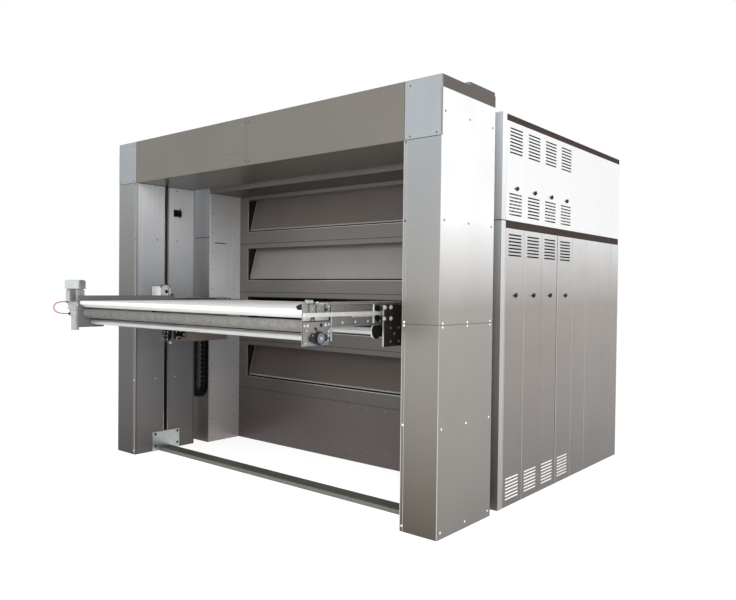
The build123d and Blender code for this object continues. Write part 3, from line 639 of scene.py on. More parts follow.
@dataclass
class Studio:
    """White floor and backdrop, soft lamps, and the camera where the photographer stood."""

    stand: Point = (4.376, -5.931, 1.622)
    yaw: float = 39.549
    pitch: float = -0.926
    roll: float = 0.666
    lens: float = 34.09
    sky: float = 0.5
    lamps: tuple[tuple[str, Point, float, float], ...] = (
        ("key", (6.5, -7.0, 5.0), 5.0, 560.0),
        ("fill", (-5.0, -8.5, 3.5), 5.0, 180.0),
        ("top", (0.0, -2.0, 8.5), 6.0, 90.0),
        ("portal", (3.0, -5.4, 1.9), 2.4, 90.0),
    )

    def camera(self) -> None:
        """Sets up the camera."""
        yaw, pitch, roll = (math.radians(a) for a in (self.yaw, self.pitch, self.roll))
        ahead = Vector((-math.sin(yaw) * math.cos(pitch), math.cos(yaw) * math.cos(pitch), math.sin(pitch)))
        level = Vector((math.cos(yaw), math.sin(yaw), 0))
        above = level.cross(ahead)
        side = level * math.cos(roll) + above * math.sin(roll)
        up = above * math.cos(roll) - level * math.sin(roll)
        data = bpy.data.cameras.new("camera")
        data.lens, data.sensor_width, data.sensor_fit = self.lens, 36.0, "HORIZONTAL"
        data.clip_end = 200
        eye = bpy.data.objects.new("camera", data)
        eye.matrix_world = Matrix.Translation(self.stand) @ Matrix((side, up, -ahead)).transposed().to_4x4()
        bpy.context.scene.collection.objects.link(eye)
        bpy.context.scene.camera = eye

    def seen(self, tree: bpy.types.NodeTree) -> bpy.types.NodeSocket:
        """Adds the nodes that give 1 where the camera, a mirror or glass sees the surface itself."""
        path = add_node(tree, "ShaderNodeLightPath")
        share = add_node(tree, "ShaderNodeMath", {0: path.outputs["Is Camera Ray"], 1: path.outputs["Is Glossy Ray"]},
                         operation="MAXIMUM")
        return add_node(tree, "ShaderNodeMath", {0: share.outputs[0], 1: path.outputs["Is Transmission Ray"]},
                        operation="MAXIMUM").outputs[0]

    def surroundings(self) -> None:
        """Makes the white world, the floor and the lamps."""
        world = bpy.data.worlds.new("studio")
        bpy.context.scene.world = world
        world.use_nodes = True
        tree = world.node_tree
        tree.nodes.clear()
        level = add_node(tree, "ShaderNodeMapRange", {"Value": self.seen(tree), "To Min": self.sky, "To Max": 1.0})
        sky = add_node(tree, "ShaderNodeBackground", {"Color": (1, 1, 1, 1), "Strength": level.outputs[0]})
        add_node(tree, "ShaderNodeOutputWorld", {0: sky.outputs[0]})
        floor = bpy.data.meshes.new("floor")
        floor.from_pydata([(-40, -40, 0), (40, -40, 0), (40, 40, 0), (-40, 40, 0)], [], [(0, 1, 2, 3)])
        paint = bpy.data.materials.new("studio_floor")
        paint.use_nodes = True
        tree = paint.node_tree
        tree.nodes.clear()
        share = add_node(tree, "ShaderNodeMapRange", {"Value": self.seen(tree), "To Min": 0.0, "To Max": 0.62})
        matt = add_node(tree, "ShaderNodeBsdfPrincipled", {"Base Color": linear("#f2f2f2"), "Roughness": 0.9,
                                                           "Specular IOR Level": 0.1})
        glow = add_node(tree, "ShaderNodeEmission", {"Color": (1, 1, 1, 1), "Strength": 1.35})
        both = add_node(tree, "ShaderNodeMixShader", {0: share.outputs[0], 1: matt.outputs[0], 2: glow.outputs[0]})
        add_node(tree, "ShaderNodeOutputMaterial", {0: both.outputs[0]})
        floor.materials.append(paint)
        ground = bpy.data.objects.new("floor", floor)
        bpy.context.scene.collection.objects.link(ground)
        for name, place, width, power in self.lamps:
            data = bpy.data.lights.new(name, "AREA")
            data.energy, data.size = power, width
            lamp = bpy.data.objects.new(name, data)
            lamp.location = place
            lamp.rotation_euler = (Vector((0, -0.8, 1.3)) - Vector(place)).to_track_quat("-Z", "Y").to_euler()
            lamp.visible_glossy = False
            bpy.context.scene.collection.objects.link(lamp)
        bpy.context.scene.view_settings.view_transform = "Standard"


# ---------------------------------------------------------------- portal


@dataclass
class Portal:
    """The two towers, the header between them and the channel on the floor."""

    front: float = -2200.0
    outer: float = 1890.0
    inner: float = 1590.0
    side_screw_rows: tuple[float, ...] = (45.0, 718.0, 1378.0, 1404.0, 2070.0, 2770.0)
    side_screw_depths: tuple[float, ...] = (-2160.0, -1860.0, -1555.0)
    front_screw_rows: tuple[float, ...] = (39.0, 716.0, 1380.0, 1402.0, 2076.0)
    seam: float = 1391.0

    def dress(self, frame: dict) -> None:
        """Gives the portal's nodes their finishes."""
        dress(frame, LEFT_TOWER, "left_tower")
        dress(frame, LEFT_TOWER_INSIDE, "left_tower_inner_panel")
        dress(frame, RIGHT_TOWER, "right_tower", "right_tower_inner_panel")
        dress(frame, HEADER, "header_beam", "header_front_panels")
        dress(frame, CAP_TRIM, "tower_caps")
        dress(frame, HATCH, "roof_hatches")
        dress(frame, MILL_STEEL, "lift_guide_posts")
        dress(frame, FLOOR_CHANNEL, "floor_channel")
        dress(frame, ZINC_PLATE, "channel_end_plates")

    def screws(self) -> None:
        """Adds the panel screws, one kind in two painted tones: painted highlight below the joint, painted shade
        against the bright upper sheet.
        """
        bright, dark = Shape(), Shape()
        for hand in HANDS:
            for z in self.side_screw_rows:
                for y in self.side_screw_depths:
                    (dark if z > 1900 else bright).screw((hand * self.outer, y, z), (hand, 0, 0), 8.0, 0.8)
            for z in self.front_screw_rows:
                (dark if z > 1900 else bright).screw((hand * 1608, self.front, z), FORWARD, 8.0, 2.6)
            for x, z in ((1607, 2596), (1638, 2630), (1850, 2632), (1638, 2962)):
                dark.screw((hand * x, self.front, z), FORWARD, 6.5, 2.4)
            for y, z in ((-1967, 2078), (-1739, 2077), (-1745, 2580), (-1978, 716), (-1747, 715), (-1990, 1404),
                         (-1740, 1404), (-1978, 45), (-1747, 45)):
                (dark if z > 1500 else bright).screw((hand * self.inner, y, z), (-hand, 0, 0), 7.0, 2.4)
        for x in (-12, 24):
            for z in (2954, 2642):
                dark.screw((x, self.front, z), FORWARD, 6.0, 2.4)
        for x in (-1300, -700, 330, 900, 1350):
            dark.screw((x, -2130, 2610), DOWN, 6.0, 2.4)
            dark.screw((x, -1600, 2610), DOWN, 6.0, 2.4)
        skins = Shape()
        for hand in HANDS:
            sides = sorted((hand * (self.inner + 6), hand * (self.outer - 1)))
            skins.block((sides[0], self.front - 0.8, 2613), (sides[1], self.front + 0.2, 2998), 0.3)
        skins.piece("header_corner_sheets", CORNER_SHEET, "oven")
        bright.piece("portal_bright_screws", BRIGHT_SCREW, "oven")
        dark.piece("portal_dark_screws", DARK_SCREW, "oven")

    def seams(self) -> None:
        """Adds the joint lines of the sheets, 1 mm wide on the real one and drawn 3 mm to show, and the folded edges in
        painted highlight.
        """
        lines, folds = Shape(), Shape()
        for hand in HANDS:
            edge = sorted((hand * self.inner, hand * self.outer))
            lines.block((edge[0], self.front - 0.6, self.seam - 1.5), (edge[1], self.front + 0.4, self.seam + 1.5))
            side = sorted((hand * (self.outer - 0.4), hand * (self.outer + 0.6)))
            lines.block((side[0], self.front, self.seam - 1.5), (side[1], -1520, self.seam + 1.5))
            lines.block((edge[0], self.front - 0.6, 2608), (edge[1], self.front + 0.4, 2611.5))
            across = sorted((hand * 1615, hand * 1618))
            folds.block((across[0], self.front - 0.8, 0), (across[1], self.front + 0.4, 2606))
            corner = sorted((hand * (self.outer - 5), hand * self.outer))
            folds.block((corner[0], self.front - 0.8, 2), (corner[1], self.front + 0.4, 2916), 0.3)
            mouth = sorted((hand * self.inner, hand * (self.inner + 5)))
            folds.block((mouth[0], self.front - 0.9, 2), (mouth[1], self.front + 0.4, 2606), 0.3)
            for y in (-1886, -1840):
                slot = sorted((hand * (self.inner - 1.2), hand * (self.inner + 1)))
                folds.block((slot[0], y, 190), (slot[1], y + 6, 2606), 0.3)
        lines.piece("portal_seams", SEAM_SHADOW, "oven")
        folds.piece("portal_folds", BRIGHT_FOLD, "oven")

    def fittings(self) -> None:
        """Adds the switch box and its bracket on the left tower, and the bolts of the end plates."""
        box, bolts = Shape(), Shape()
        for y_low, y_high, z_low, z_high in ((-1782, -1737, 2322, 2390), (-1727, -1695, 2326, 2386)):
            box.block((-self.inner, y_low, z_low), (-self.inner + 16, y_high, z_high), 2)
        box.block((-self.inner, -1737, 2338), (-self.inner + 9, -1727, 2374), 1)
        box.rod((-self.inner, -1712, 2396), RIGHT, 12, 7)
        box.rod((-self.inner, -1712, 2318), RIGHT, 12, 6)
        box.piece("limit_switch", BLACK_NYLON, "oven")
        for hand in HANDS:
            for y in (-1979, -1725):
                for z in (165, 50):
                    bolts.bolt((hand * 1580, y, z), (-hand, 0, 0), 16, 8)
        bolts.piece("end_plate_bolts", DARK_SCREW, "oven")
        hatch = Shape()
        for y in (-1850, -1700, -1545):
            hatch.bolt((1700, y, 3025 - 4), UP, 10, 4)
            hatch.bolt((-1700, y, 3025 - 4), UP, 10, 4)
        hatch.piece("hatch_bolts", SCREW_STEEL, "oven")

    def build(self, frame: dict) -> None:
        """Dresses the portal and adds its pieces."""
        self.dress(frame)
        self.screws()
        self.seams()
        self.fittings()


# ---------------------------------------------------------------- oven


@dataclass
class OvenFront:
    """The stack of four decks with their flap doors, the hood above and the base below."""

    face: float = -980.0
    half: float = 1520.0
    mouth: float = 1386.0
    floor_level: float = 546.0
    pitch: float = 513.5
    decks: int = 4
    open_deck: int = 1
    door_swing: float = 104.0
    hinge_place: tuple[float, float] = (-864.0, 480.0)
    bar_place: tuple[float, float] = (-955.0, 147.0)
    bar_half: float = 1376.0

    def dress(self, frame: dict) -> None:
        """Gives the oven's nodes their finishes."""
        dress(frame, DECK_FRONT, "deck_fronts")
        dress(frame, HOOD, "extraction_hood")
        dress(frame, BASE_PANEL, "base_front_panel")
        dress(frame, CHAMBER_STEEL, "oven_side_walls")
        dress(frame, BAKING_SOLE, "deck_soles")
        dress(frame, REAR, "base_plinth", "rear_housing", "oven_crown")
        for deck, finish in DOORS.items():
            dress(frame, finish, f"deck_{deck}_door")

    def screws(self) -> None:
        """Adds the rows of screws on the borders and the base panel."""
        heads = Shape()
        for hand in HANDS:
            for step in range(11):
                heads.screw((hand * 1443, self.face, 627 + 195 * step), FORWARD, 5.0, 2.0)
            for z in (46, 241, 436):
                heads.screw((hand * 1490, self.face, z), FORWARD, 5.0, 2.0)
        for z in (508, 116):
            for step in range(16):
                heads.screw((-1490 + 198.7 * step, self.face, z), FORWARD, 5.0, 2.0)
        heads.piece("oven_front_screws", SCREW_STEEL, "oven")

    def seams(self) -> None:
        """Adds the dark joints between decks and the folds round each mouth, bright with painted highlight."""
        lines, folds, glints = Shape(), Shape(), Shape()
        for deck in range(self.decks):
            z = self.floor_level + self.pitch * deck
            lines.block((-self.half, self.face - 0.8, z - 3), (self.half, self.face + 0.4, z + 2))
            low, high = z + 128, z + 458
            for hand in HANDS:
                edge = sorted((hand * (self.mouth + 1), hand * (self.mouth + 6)))
                folds.block((edge[0], self.face - 1.2, low), (edge[1], self.face + 0.4, high), 0.3)
            folds.block((-self.mouth, self.face - 1.2, low - 5), (self.mouth, self.face + 0.4, low - 1), 0.3)
            lines.block((-self.mouth, self.face - 1.0, high + 1), (self.mouth, self.face + 0.4, high + 7))
        lines.piece("deck_seams", SEAM_SHADOW, "oven")
        folds.piece("deck_mouth_folds", BRIGHT_FOLD, "oven")

    def bars(self) -> None:
        """Adds the ground sleeve on each door's bottom bar and the folds down its sides, both pale with painted
        highlight.
        """
        turn = math.radians(self.door_swing)
        for deck in range(self.decks):
            made = Shape()
            level = self.floor_level + self.pitch * deck
            y, z = self.bar_place
            hinge_y, hinge_z = self.hinge_place
            place = Matrix.Translation((0, hinge_y, level + hinge_z))
            if deck == self.open_deck:
                place = place @ Matrix.Rotation(turn, 4, "X")
            flap = Shape().rod((-self.bar_half, y - hinge_y, z - hinge_z), RIGHT, 2 * self.bar_half, 8.8, 20, 0.6)
            lean = math.atan2(y - hinge_y, hinge_z - z)
            along = Matrix.Rotation(lean, 4, "X")
            for hand in HANDS:
                edge = sorted((hand * (self.bar_half - 3), hand * (self.bar_half + 0.4)))
                strip = Shape().block((edge[0], -6.5, -330), (edge[1], 1.0, -26), 0.3)
                flap.stamp(strip, along)
            made.stamp(flap, place)
            made.piece(f"deck_{deck + 1}_door_bar", DOOR_BAR, f"deck_{deck + 1}_door")

    def build(self, frame: dict) -> None:
        """Dresses the oven and adds its pieces."""
        self.dress(frame)
        self.screws()
        self.seams()
        self.bars()


# ---------------------------------------------------------------- service cabinets


@dataclass
class Cabinets:
    """The side cabinets with their lift-off service panels, louvres and latches."""

    face: float = 1880.0
    case: float = 1865.0
    first: float = -1325.0
    pitch: float = 300.0
    louvre_centre: float = -1176.0
    louvre_width: float = 200.0
    slot_pitch: float = 25.4
    groups: tuple[tuple[float, int], ...] = ((2648.0, 8), (2188.0, 7), (1884.0, 7), (57.0, 7))
    louvred: int = 4
    panels: int = 8

    def dress(self, frame: dict) -> None:
        """Gives the cabinets' nodes their finishes."""
        dress(frame, CABINET, "left_cabinet", "right_cabinet")
        dress(frame, CABINET_FRONT_RIGHT, "cabinet_front_panels")
        dress(frame, UPPER_PANELS, "left_upper_panels", "right_upper_panels")
        dress(frame, LOWER_PANELS, "left_lower_panels", "right_lower_panels")
        dress(frame, UMBER_TRIM, "trim_strips")
        dress(frame, BLACK_NYLON, "panel_latches")

    def liners(self) -> None:
        """Adds what shows through the louvres: a dark sheet of painted shade for the inside, a wire mesh, and at the
        floor a white sheet of painted light seen through the slots.
        """
        dark, pale, mesh = Shape(), Shape(), Shape()
        for hand in HANDS:
            for panel in range(self.louvred):
                middle = self.louvre_centre + self.pitch * panel
                low_y, high_y = middle - self.louvre_width / 2 - 4, middle + self.louvre_width / 2 + 4
                for number, (z, count) in enumerate(self.groups):
                    low_z, high_z = z - 8, z + (count - 1) * self.slot_pitch + 8
                    reach = (9.0, 10.0) if number < 3 else (13.6, 14.5)
                    sides = sorted(hand * (self.case + r) for r in reach)
                    (dark if number < 3 else pale).block((sides[0], low_y, low_z), (sides[1], high_y, high_z))
                    if number == 1 and panel != 1:
                        self.wires(mesh, hand * (self.case + 12.6), low_y + 6, high_y - 6, low_z, high_z)
        dark.piece("louvre_dark_liners", DARK_LINER, "oven")
        pale.piece("louvre_painted_light", WHITE_LINER, "oven")
        mesh.piece("louvre_wire_mesh", WIRE_MESH, "oven")

    def wires(self, mesh: Shape, x: float, low_y: float, high_y: float, low_z: float, high_z: float) -> None:
        """Adds one slanting wire set behind a louvre.

        Args:
            mesh: the shape that takes the wires.
            x: the plane of the mesh.
            low_y: its near side.
            high_y: its far side.
            low_z: its foot.
            high_z: its head.
        """
        rise, width = 62.0, 4.0
        start = low_z - rise
        while start < high_z:
            points = [Vector((x + d, y, start + s + w)) for d in (-0.8, 0.8)
                      for y, s in ((low_y, 0.0), (high_y, rise)) for w in (0.0, width)]
            ends = [(max(p.z, low_z), min(p.z, high_z)) for p in points]
            for point, (above, _) in zip(points, ends):
                point.z = min(above, high_z)
            mesh.add(points, [(0, 1, 3, 2), (4, 6, 7, 5), (0, 2, 6, 4), (1, 5, 7, 3), (0, 4, 5, 1), (2, 3, 7, 6)])
            start += 21.0

    def folds(self) -> None:
        """Adds the folded edges of the panels in painted highlight, 2 mm on the real one and drawn 5 mm to show, and
        painted glare over the joints of the upper panels.
        """
        bright, lines, pale = Shape(), Shape(), Shape()
        for hand in HANDS:
            out = sorted((hand * (self.face - 0.4), hand * (self.face + 0.8)))
            for panel in range(self.panels):
                y = self.first + self.pitch * panel
                width = {2: 1.5, 3: 8.0, 6: 3.0, 7: 3.0}.get(panel, 6.0)
                if y + width < 980:
                    bright.block((out[0], y, 4), (out[1], y + width, 2081), 0.3)
                if panel == 3:
                    lines.block((out[0], y - 8, 4), (out[1], y - 1, 2081))
                if panel and y + width < 980:
                    pale.block((out[0], y - 5, 2146), (out[1], y + 3, 2871), 0.3)
            bright.block((out[0], -1390, 4), (out[1], -1384, 2920), 0.3)
            for y in (-1360, -1345):
                bright.block((out[0], y, 4), (out[1], y + 5, 2136), 0.3)
            front = sorted((hand * 1520, hand * self.face))
            lines.block((front[0], -1390.8, 2134), (front[1], -1389.6, 2141))
            lines.block((out[0], -1390, 2134), (out[1], -1327, 2141))
            inner = sorted((hand * 1519.2, hand * 1520.4))
            lines.block((inner[0], -1322, 2078), (inner[1], -1175, 2088))
        bright.piece("panel_edge_folds", BRIGHT_FOLD, "oven")
        pale.piece("upper_panel_painted_glare", PALE_FOLD, "oven")
        lines.piece("cabinet_seams", SEAM_SHADOW, "oven")

    def latches(self) -> None:
        """Adds the wing of each quarter-turn latch, set half open as the fitter left it."""
        wings = Shape()
        for hand in HANDS:
            for panel in range(self.louvred):
                for z in (2387.0, 1583.0):
                    y = -1155 + self.pitch * panel
                    out = sorted((hand * (self.face + 1), hand * (self.face + 8.5)))
                    wings.block((out[0], y - 30, z - 7), (out[1], y - 8, z + 7), 2)
                    wings.block((out[0], y - 2, z - 3), (out[1], y + 16, z + 18), 2)
                    wings.block((out[0], y - 8, z - 16), (out[1], y + 3, z - 5), 2)
        wings.piece("latch_wings", BLACK_NYLON, "oven")

    def screws(self) -> None:
        """Adds the two rows of screws on the cabinets' inner faces."""
        heads = Shape()
        for hand in HANDS:
            for y in (-1348, -1060):
                for step in range(13):
                    heads.screw((hand * 1520, y, 46 + 195 * step), (-hand, 0, 0), 6.0, 2.4)
        heads.piece("cabinet_inner_screws", DARK_SCREW, "oven")

    def build(self, frame: dict) -> None:
        """Dresses the cabinets and adds their pieces."""
        self.dress(frame)
        self.liners()
        self.folds()
        self.latches()
        self.screws()


@dataclass
class EnergyChain:
    """The cable chain behind the left tower: links of side plates and cross bars on a fixed loop."""

    pitch: float = 46.0
    height: float = 60.0
    low_y: float = -1453.0
    high_y: float = -1395.0
    centre: tuple[float, float] = (-1645.0, 600.0)
    radius: float = 100.0
    top: float = 1560.0
    bracket_top: float = 1450.0

    def link(self) -> Shape:
        """One link, lying along Z with its middle at the origin."""
        made = Shape()
        half, reach = self.height / 2, self.pitch / 2
        for low, high in ((self.low_y, self.low_y + 7), (self.high_y - 7, self.high_y)):
            made.block((-half, low, -reach + 1), (half, high, reach - 1), 3)
            made.rod((0, low, -reach + 8), BACK, high - low, 11, 16)
        for x in (-half, half - 7):
            made.block((x, self.low_y + 4, -7), (x + 7, self.high_y - 4, 7), 1.5)
        return made

    def build(self) -> None:
        """Strings the links along both strands and round the bend."""
        chain, link = Shape(), self.link()
        x, z = self.centre
        steps = int((self.top - z) // self.pitch)
        for step in range(steps):
            chain.stamp(link, Matrix.Translation((x + self.radius, 0, z + self.pitch * (step + 0.5))))
        turns = 7
        for step in range(turns):
            angle = math.pi * (step + 0.5) / turns
            place = Vector((x + self.radius * math.cos(angle), 0, z - self.radius * math.sin(angle)))
            chain.stamp(link, Matrix.Translation(place) @ Matrix.Rotation(angle, 4, "Y"))
        for step in range(int((self.bracket_top - z) // self.pitch)):
            chain.stamp(link, Matrix.Translation((x - self.radius, 0, z + self.pitch * (step + 0.5))))
        made = chain.piece("energy_chain_links", BLACK_NYLON, "oven")
        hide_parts("energy_chain")
        bars = Shape()
        for step in range(steps):
            bars.block((x + self.radius - 34, self.low_y + 1, z + self.pitch * step - 4),
                       (x + self.radius - 29, self.low_y + 13, z + self.pitch * step + 5), 1)
        bars.piece("energy_chain_bars", BRIGHT_SCREW, "oven")


# ---------------------------------------------------------------- lift and loader


@dataclass
class LiftCarriage:
    """The plates, arms and rollers that carry the loader up and down the towers."""

    plate: float = 1440.0
    plate_out: float = 1452.0

    def dress(self, frame: dict) -> None:
        """Gives the carriage's nodes their finishes."""
        dress(frame, BLACK_COAT, "right_lift_arm", "right_carriage_plate")
        dress(frame, SHADED_PLATE, "left_lift_arm", "left_carriage_plate")
        dress(frame, BLACK_NYLON, "left_guide_rollers", "right_guide_rollers")
        dress(frame, ZINC_PLATE, "chain_bracket")

    def bolts(self) -> None:
        """Adds the bolts on the plates, which shine against the black coat."""
        bright, small, edges = Shape(), Shape(), Shape()
        for y, z in ((-2209, 1496), (-2143, 1496), (-2213, 1420), (-2141, 1420)):
            bright.bolt((self.plate_out - 1.5, y, z), RIGHT, 19, 11)
        for y, z in ((-2142, 1355), (-2050, 1355), (-2142, 1261), (-2050, 1261), (-2100, 1314), (-1900, 1480),
                     (-1800, 1480), (-1700, 1480), (-1900, 1262), (-1800, 1262), (-1700, 1262), (-1260, 1496),
                     (-1260, 1250)):
            small.bolt((self.plate_out, y, z), RIGHT, 12, 6)
        for y, z in ((-1690, 1500), (-1240, 1500), (-1690, 1190), (-1240, 1090), (-1860, 1180), (-1860, 1095)):
            small.bolt((-self.plate_out, y, z), LEFT, 12, 6)
        # A thin strip of painted highlight along the plate's front edge.
        edges.block((self.plate - 0.4, -2217.4, 1229), (self.plate_out + 0.2, -2216.6, 1514))
        self.guide_head()
        bright.piece("carriage_bolts", TABLE_BOLT, "lift_carriage")
        small.piece("carriage_screws", SCREW_STEEL, "lift_carriage")
        edges.piece("carriage_plate_edge", BRIGHT_FOLD, "lift_carriage")

    def guide_head(self) -> None:
        """Adds the guide head on the left arm: its cover, rollers and brackets, which hang below the table."""
        dark, pale, bolts = Shape(), Shape(), Shape()
        dark.block((-1582, -1897, 1092), (-1500, -1823, 1150), 5)
        dark.block((-1560, -1905, 1150), (-1480, -1815, 1196), 6)
        dark.block((-1496, -1896, 1120), (-1456, -1836, 1176), 4)
        dark.block((-1438, -1880, 1104), (-1404, -1812, 1192), 5)
        dark.rod((-1438, -1776, 1150), RIGHT, 30, 26, 24, 3)
        pale.block((-1586, -1916, 1082), (-1578, -1888, 1198), 1)
        pale.rod((-1500, -1868, 1082), DOWN, 26, 20, 20, 3)
        pale.rod((-1409, -1776, 1150), RIGHT, 4, 15, 20, 1)
        pale.block((-1404, -1872, 1120), (-1400, -1820, 1134), 1)
        for x, z in ((-1566, 1136), (-1566, 1104), (-1516, 1136), (-1516, 1104)):
            bolts.bolt((x, -1897, z), FORWARD, 12, 6)
        for x in (-1546, -1496):
            bolts.bolt((x, -1905, 1173), FORWARD, 12, 6)
        for y, z in ((-1868, 1180), (-1826, 1180), (-1868, 1112)):
            bolts.bolt((-1404, y, z), RIGHT, 10, 5)
        dark.piece("guide_head_cover", BLACK_NYLON, "lift_carriage")
        pale.piece("guide_head_brackets", ZINC_PLATE, "lift_carriage")
        bolts.piece("guide_head_bolts", TABLE_BOLT, "lift_carriage")

    def build(self, frame: dict) -> None:
        """Dresses the carriage and adds its pieces."""
        self.dress(frame)
        self.bolts()


@dataclass
class LoaderTable:
    """The belt table: side frames, racks, end plates with their adjusters, and the belt."""

    body: str = "loader_table"
    face: float = 1358.0
    rear: float = -1070.0
    front: float = -2902.0
    rack_low: float = 1442.0
    tooth_pitch: float = 25.0

    def dress(self, frame: dict) -> None:
        """Gives the table's nodes their finishes."""
        dress(frame, FRAME_PLATE, "right_side_frame")
        dress(frame, LEFT_FRAME, "left_side_frame")
        dress(frame, RAIL, "rack_rails")
        dress(frame, BELT_CLOTH, "loader_belt")
        dress(frame, ZINC_PLATE, "belt_bed")
        dress(frame, ROLLER_LAGGING, "drive_roller")
        dress(frame, BRIGHT_TUBE, "return_tube", "rear_drum")
        dress(frame, BLACK_COAT, "end_bearings")

    def racks(self) -> None:
        """Adds the rack teeth under each rail and the bolts that hold the rails."""
        teeth, bolts = Shape(), Shape()
        for hand in HANDS:
            sides = sorted((hand * (self.face + 0.2), hand * (self.face + 2.8)))
            y = -2440.0
            while y < self.rear - 20:
                teeth.prism([(y, self.rack_low), (y + 7, self.rack_low - 11), (y + 13, self.rack_low - 11),
                             (y + 20, self.rack_low)], Grain.ACROSS, sides[0], sides[1])
                y += self.tooth_pitch
            for step in range(10):
                bolts.bolt((hand * (self.face + 19.5), -2545 + 127 * step, 1455), (hand, 0, 0), 9, 4)
            for step in range(10):
                bolts.bolt((hand * self.face, -2535 + 130 * step, 1400 if step < 4 else 1437), (hand, 0, 0), 10, 2.5)
        teeth.piece("rack_teeth", BRIGHT_BAR, self.body)
        bolts.piece("rack_bolts", TABLE_BOLT, self.body)

    def end_plate(self) -> None:
        """Adds the adjuster blocks, clamps, guide and bolts on the right end plate.

        Between the rollers' heights they lie in low relief, for the guide rollers pass 8 mm off the plate.
        """
        x = self.face
        pale, steel, dark, bolts, ring = Shape(), Shape(), Shape(), Shape(), Shape()
        pale.block((x - 8, -2878, 1526), (x + 10, -2817, 1549), 3)
        pale.block((x, -2798, 1420), (x + 16, -2669, 1461), 3)
        pale.block((x, -2903, 1419), (x + 13, -2833, 1457), 3)
        pale.block((x, -2652, 1284), (x + 4, -2634, 1509), 1)
        steel.block((x, -2902, 1463), (x + 15, -2852, 1518), 2)
        steel.block((x, -2846, 1463), (x + 11, -2789, 1521), 2)
        steel.prism([(-2763, 1486), (-2707, 1520), (-2763, 1520)], Grain.ACROSS, x, x + 12)
        steel.block((x, -2700, 1470), (x + 9, -2640, 1524), 2)
        steel.prism([(-2853, 1327), (-2800, 1368), (-2768, 1378), (-2768, 1278), (-2800, 1290)], Grain.ACROSS,
                    x, x + 8)
        dark.turned((x - 0.5, -2689, 1486), RIGHT, [(13, 0), (13, 8), (11, 10), (0, 10)], 20)
        dark.turned((x - 0.5, -2736, 1389), RIGHT, [(14, 0), (14, 3), (9, 3), (0, 2)], 20)
        dark.rod((x + 1, -2826, 1327), RIGHT, 12, 18, 6, 2)
        dark.rod((x - 1, -2790, 1365), RIGHT, 10, 12, 16, 2)
        dark.rod((x - 1, -2812, 1440), RIGHT, 12, 9, 16, 2)
        ring.turned((x + 31.5, -2768, 1309), RIGHT, [(34, 0), (34, 1.5), (31, 3), (25, 3), (23, 0)], 36)
        pale.turned((x + 31.5, -2768, 1309), RIGHT, [(24, 0), (24, 1.5), (20, 1.5), (20, 0)], 30)
        pale.turned((x + 31.5, -2768, 1309), RIGHT, [(14, 0), (14, 3), (11, 6), (7, 6), (5, 3), (0, 3)], 24)
        for y, z, across in ((-2783, 1528, 17), (-2697, 1389, 17), (-2677, 1347, 15), (-2677, 1322, 15),
                             (-2709, 1285, 9), (-2681, 1290, 9), (-2876, 1358, 9), (-2886, 1389, 13),
                             (-2858, 1389, 15), (-2826, 1327, 12), (-2840, 1438, 12), (-2880, 1438, 12),
                             (-2770, 1441, 12), (-2700, 1441, 12), (-2664, 1392, 14), (-2656, 1366, 11),
                             (-2886, 1280, 9), (-2820, 1493, 11), (-2668, 1505, 10)):
            bolts.bolt((x + (12 if 1415 < z < 1460 else 8), y, z), RIGHT, 0.72 * across, 8)
        for shape in (pale, steel, dark, bolts):
            shape.flatten(x, 0.13, 1376, 1525.5)
        pale.piece("end_plate_clamps", ZINC_PLATE, self.body)
        steel.piece("end_plate_blocks", CAST_ALUMINIUM, self.body)
        dark.piece("end_plate_bearing", BLACK_COAT, self.body)
        ring.piece("bearing_seal_ring", BEARING_STEEL, self.body)
        bolts.piece("end_plate_screws", TABLE_BOLT, self.body)
        lines = Shape()
        for y, low, high in ((-2849, 1462, 1524), (-2786, 1462, 1524), (-2704, 1464, 1524), (-2831, 1416, 1460),
                             (-2801, 1416, 1460), (-2664, 1416, 1460), (-2655, 1284, 1515)):
            lines.block((x, y - 2.5, low), (x + 2.7, y + 2.5, high))
        for low_y, high_y, z in ((-2903, -2640, 1461), (-2903, -2665, 1415), (-2860, -2765, 1524)):
            lines.block((x, low_y, z - 2.5), (x + 2.6, high_y, z + 2.5))
        lines.block((x, -2903, 1280), (x + 1, -2900, 1500))
        lines.piece("end_plate_gaps", DARK_LINER, self.body)
        # Thin strips of painted highlight along the side frame's edges.
        edges = Shape()
        edges.block((1350, -2760, 1521.5), (x + 1, -2170, 1525), 0.5)
        edges.block((x, -2635, 1373), (x + 5, -2130, 1379), 0.5)
        edges.block((x, -2222, 1387), (x + 2.5, -2207, 1519), 0.5)
        edges.piece("side_frame_edges", BRIGHT_BAR, self.body)
        bar = Shape().block((-1349, -2741, 1318), (1349, -2733, 1352), 1)
        bar.piece("belt_scraper_bar", BLACK_COAT, self.body)
        guide = Shape()
        guide.prism([(-2903, 1508), (-2868, 1521), (-2868, 1466), (-2899, 1497)], Grain.ACROSS, 1300, 1350)
        guide.piece("belt_edge_guide", BLACK_NYLON, self.body)

    def left_end(self) -> None:
        """Adds the adjuster and brackets at the motor end."""
        steel, dark = Shape(), Shape()
        x = -self.face
        steel.block((x - 12, -2895, 1500), (x, -2700, 1534), 3)
        steel.block((x - 16, -2820, 1270), (x, -2700, 1345), 4)
        steel.block((x - 22, -2790, 1400), (x, -2720, 1450), 3)
        for y, z in ((-2870, 1517), (-2800, 1517), (-2730, 1517), (-2805, 1330), (-2715, 1330), (-2805, 1285),
                     (-2715, 1285)):
            dark.bolt((x - 12, y, z), LEFT, 12, 7)
        steel.piece("left_end_blocks", CAST_ALUMINIUM, self.body)
        dark.piece("left_end_bolts", SCREW_STEEL, self.body)

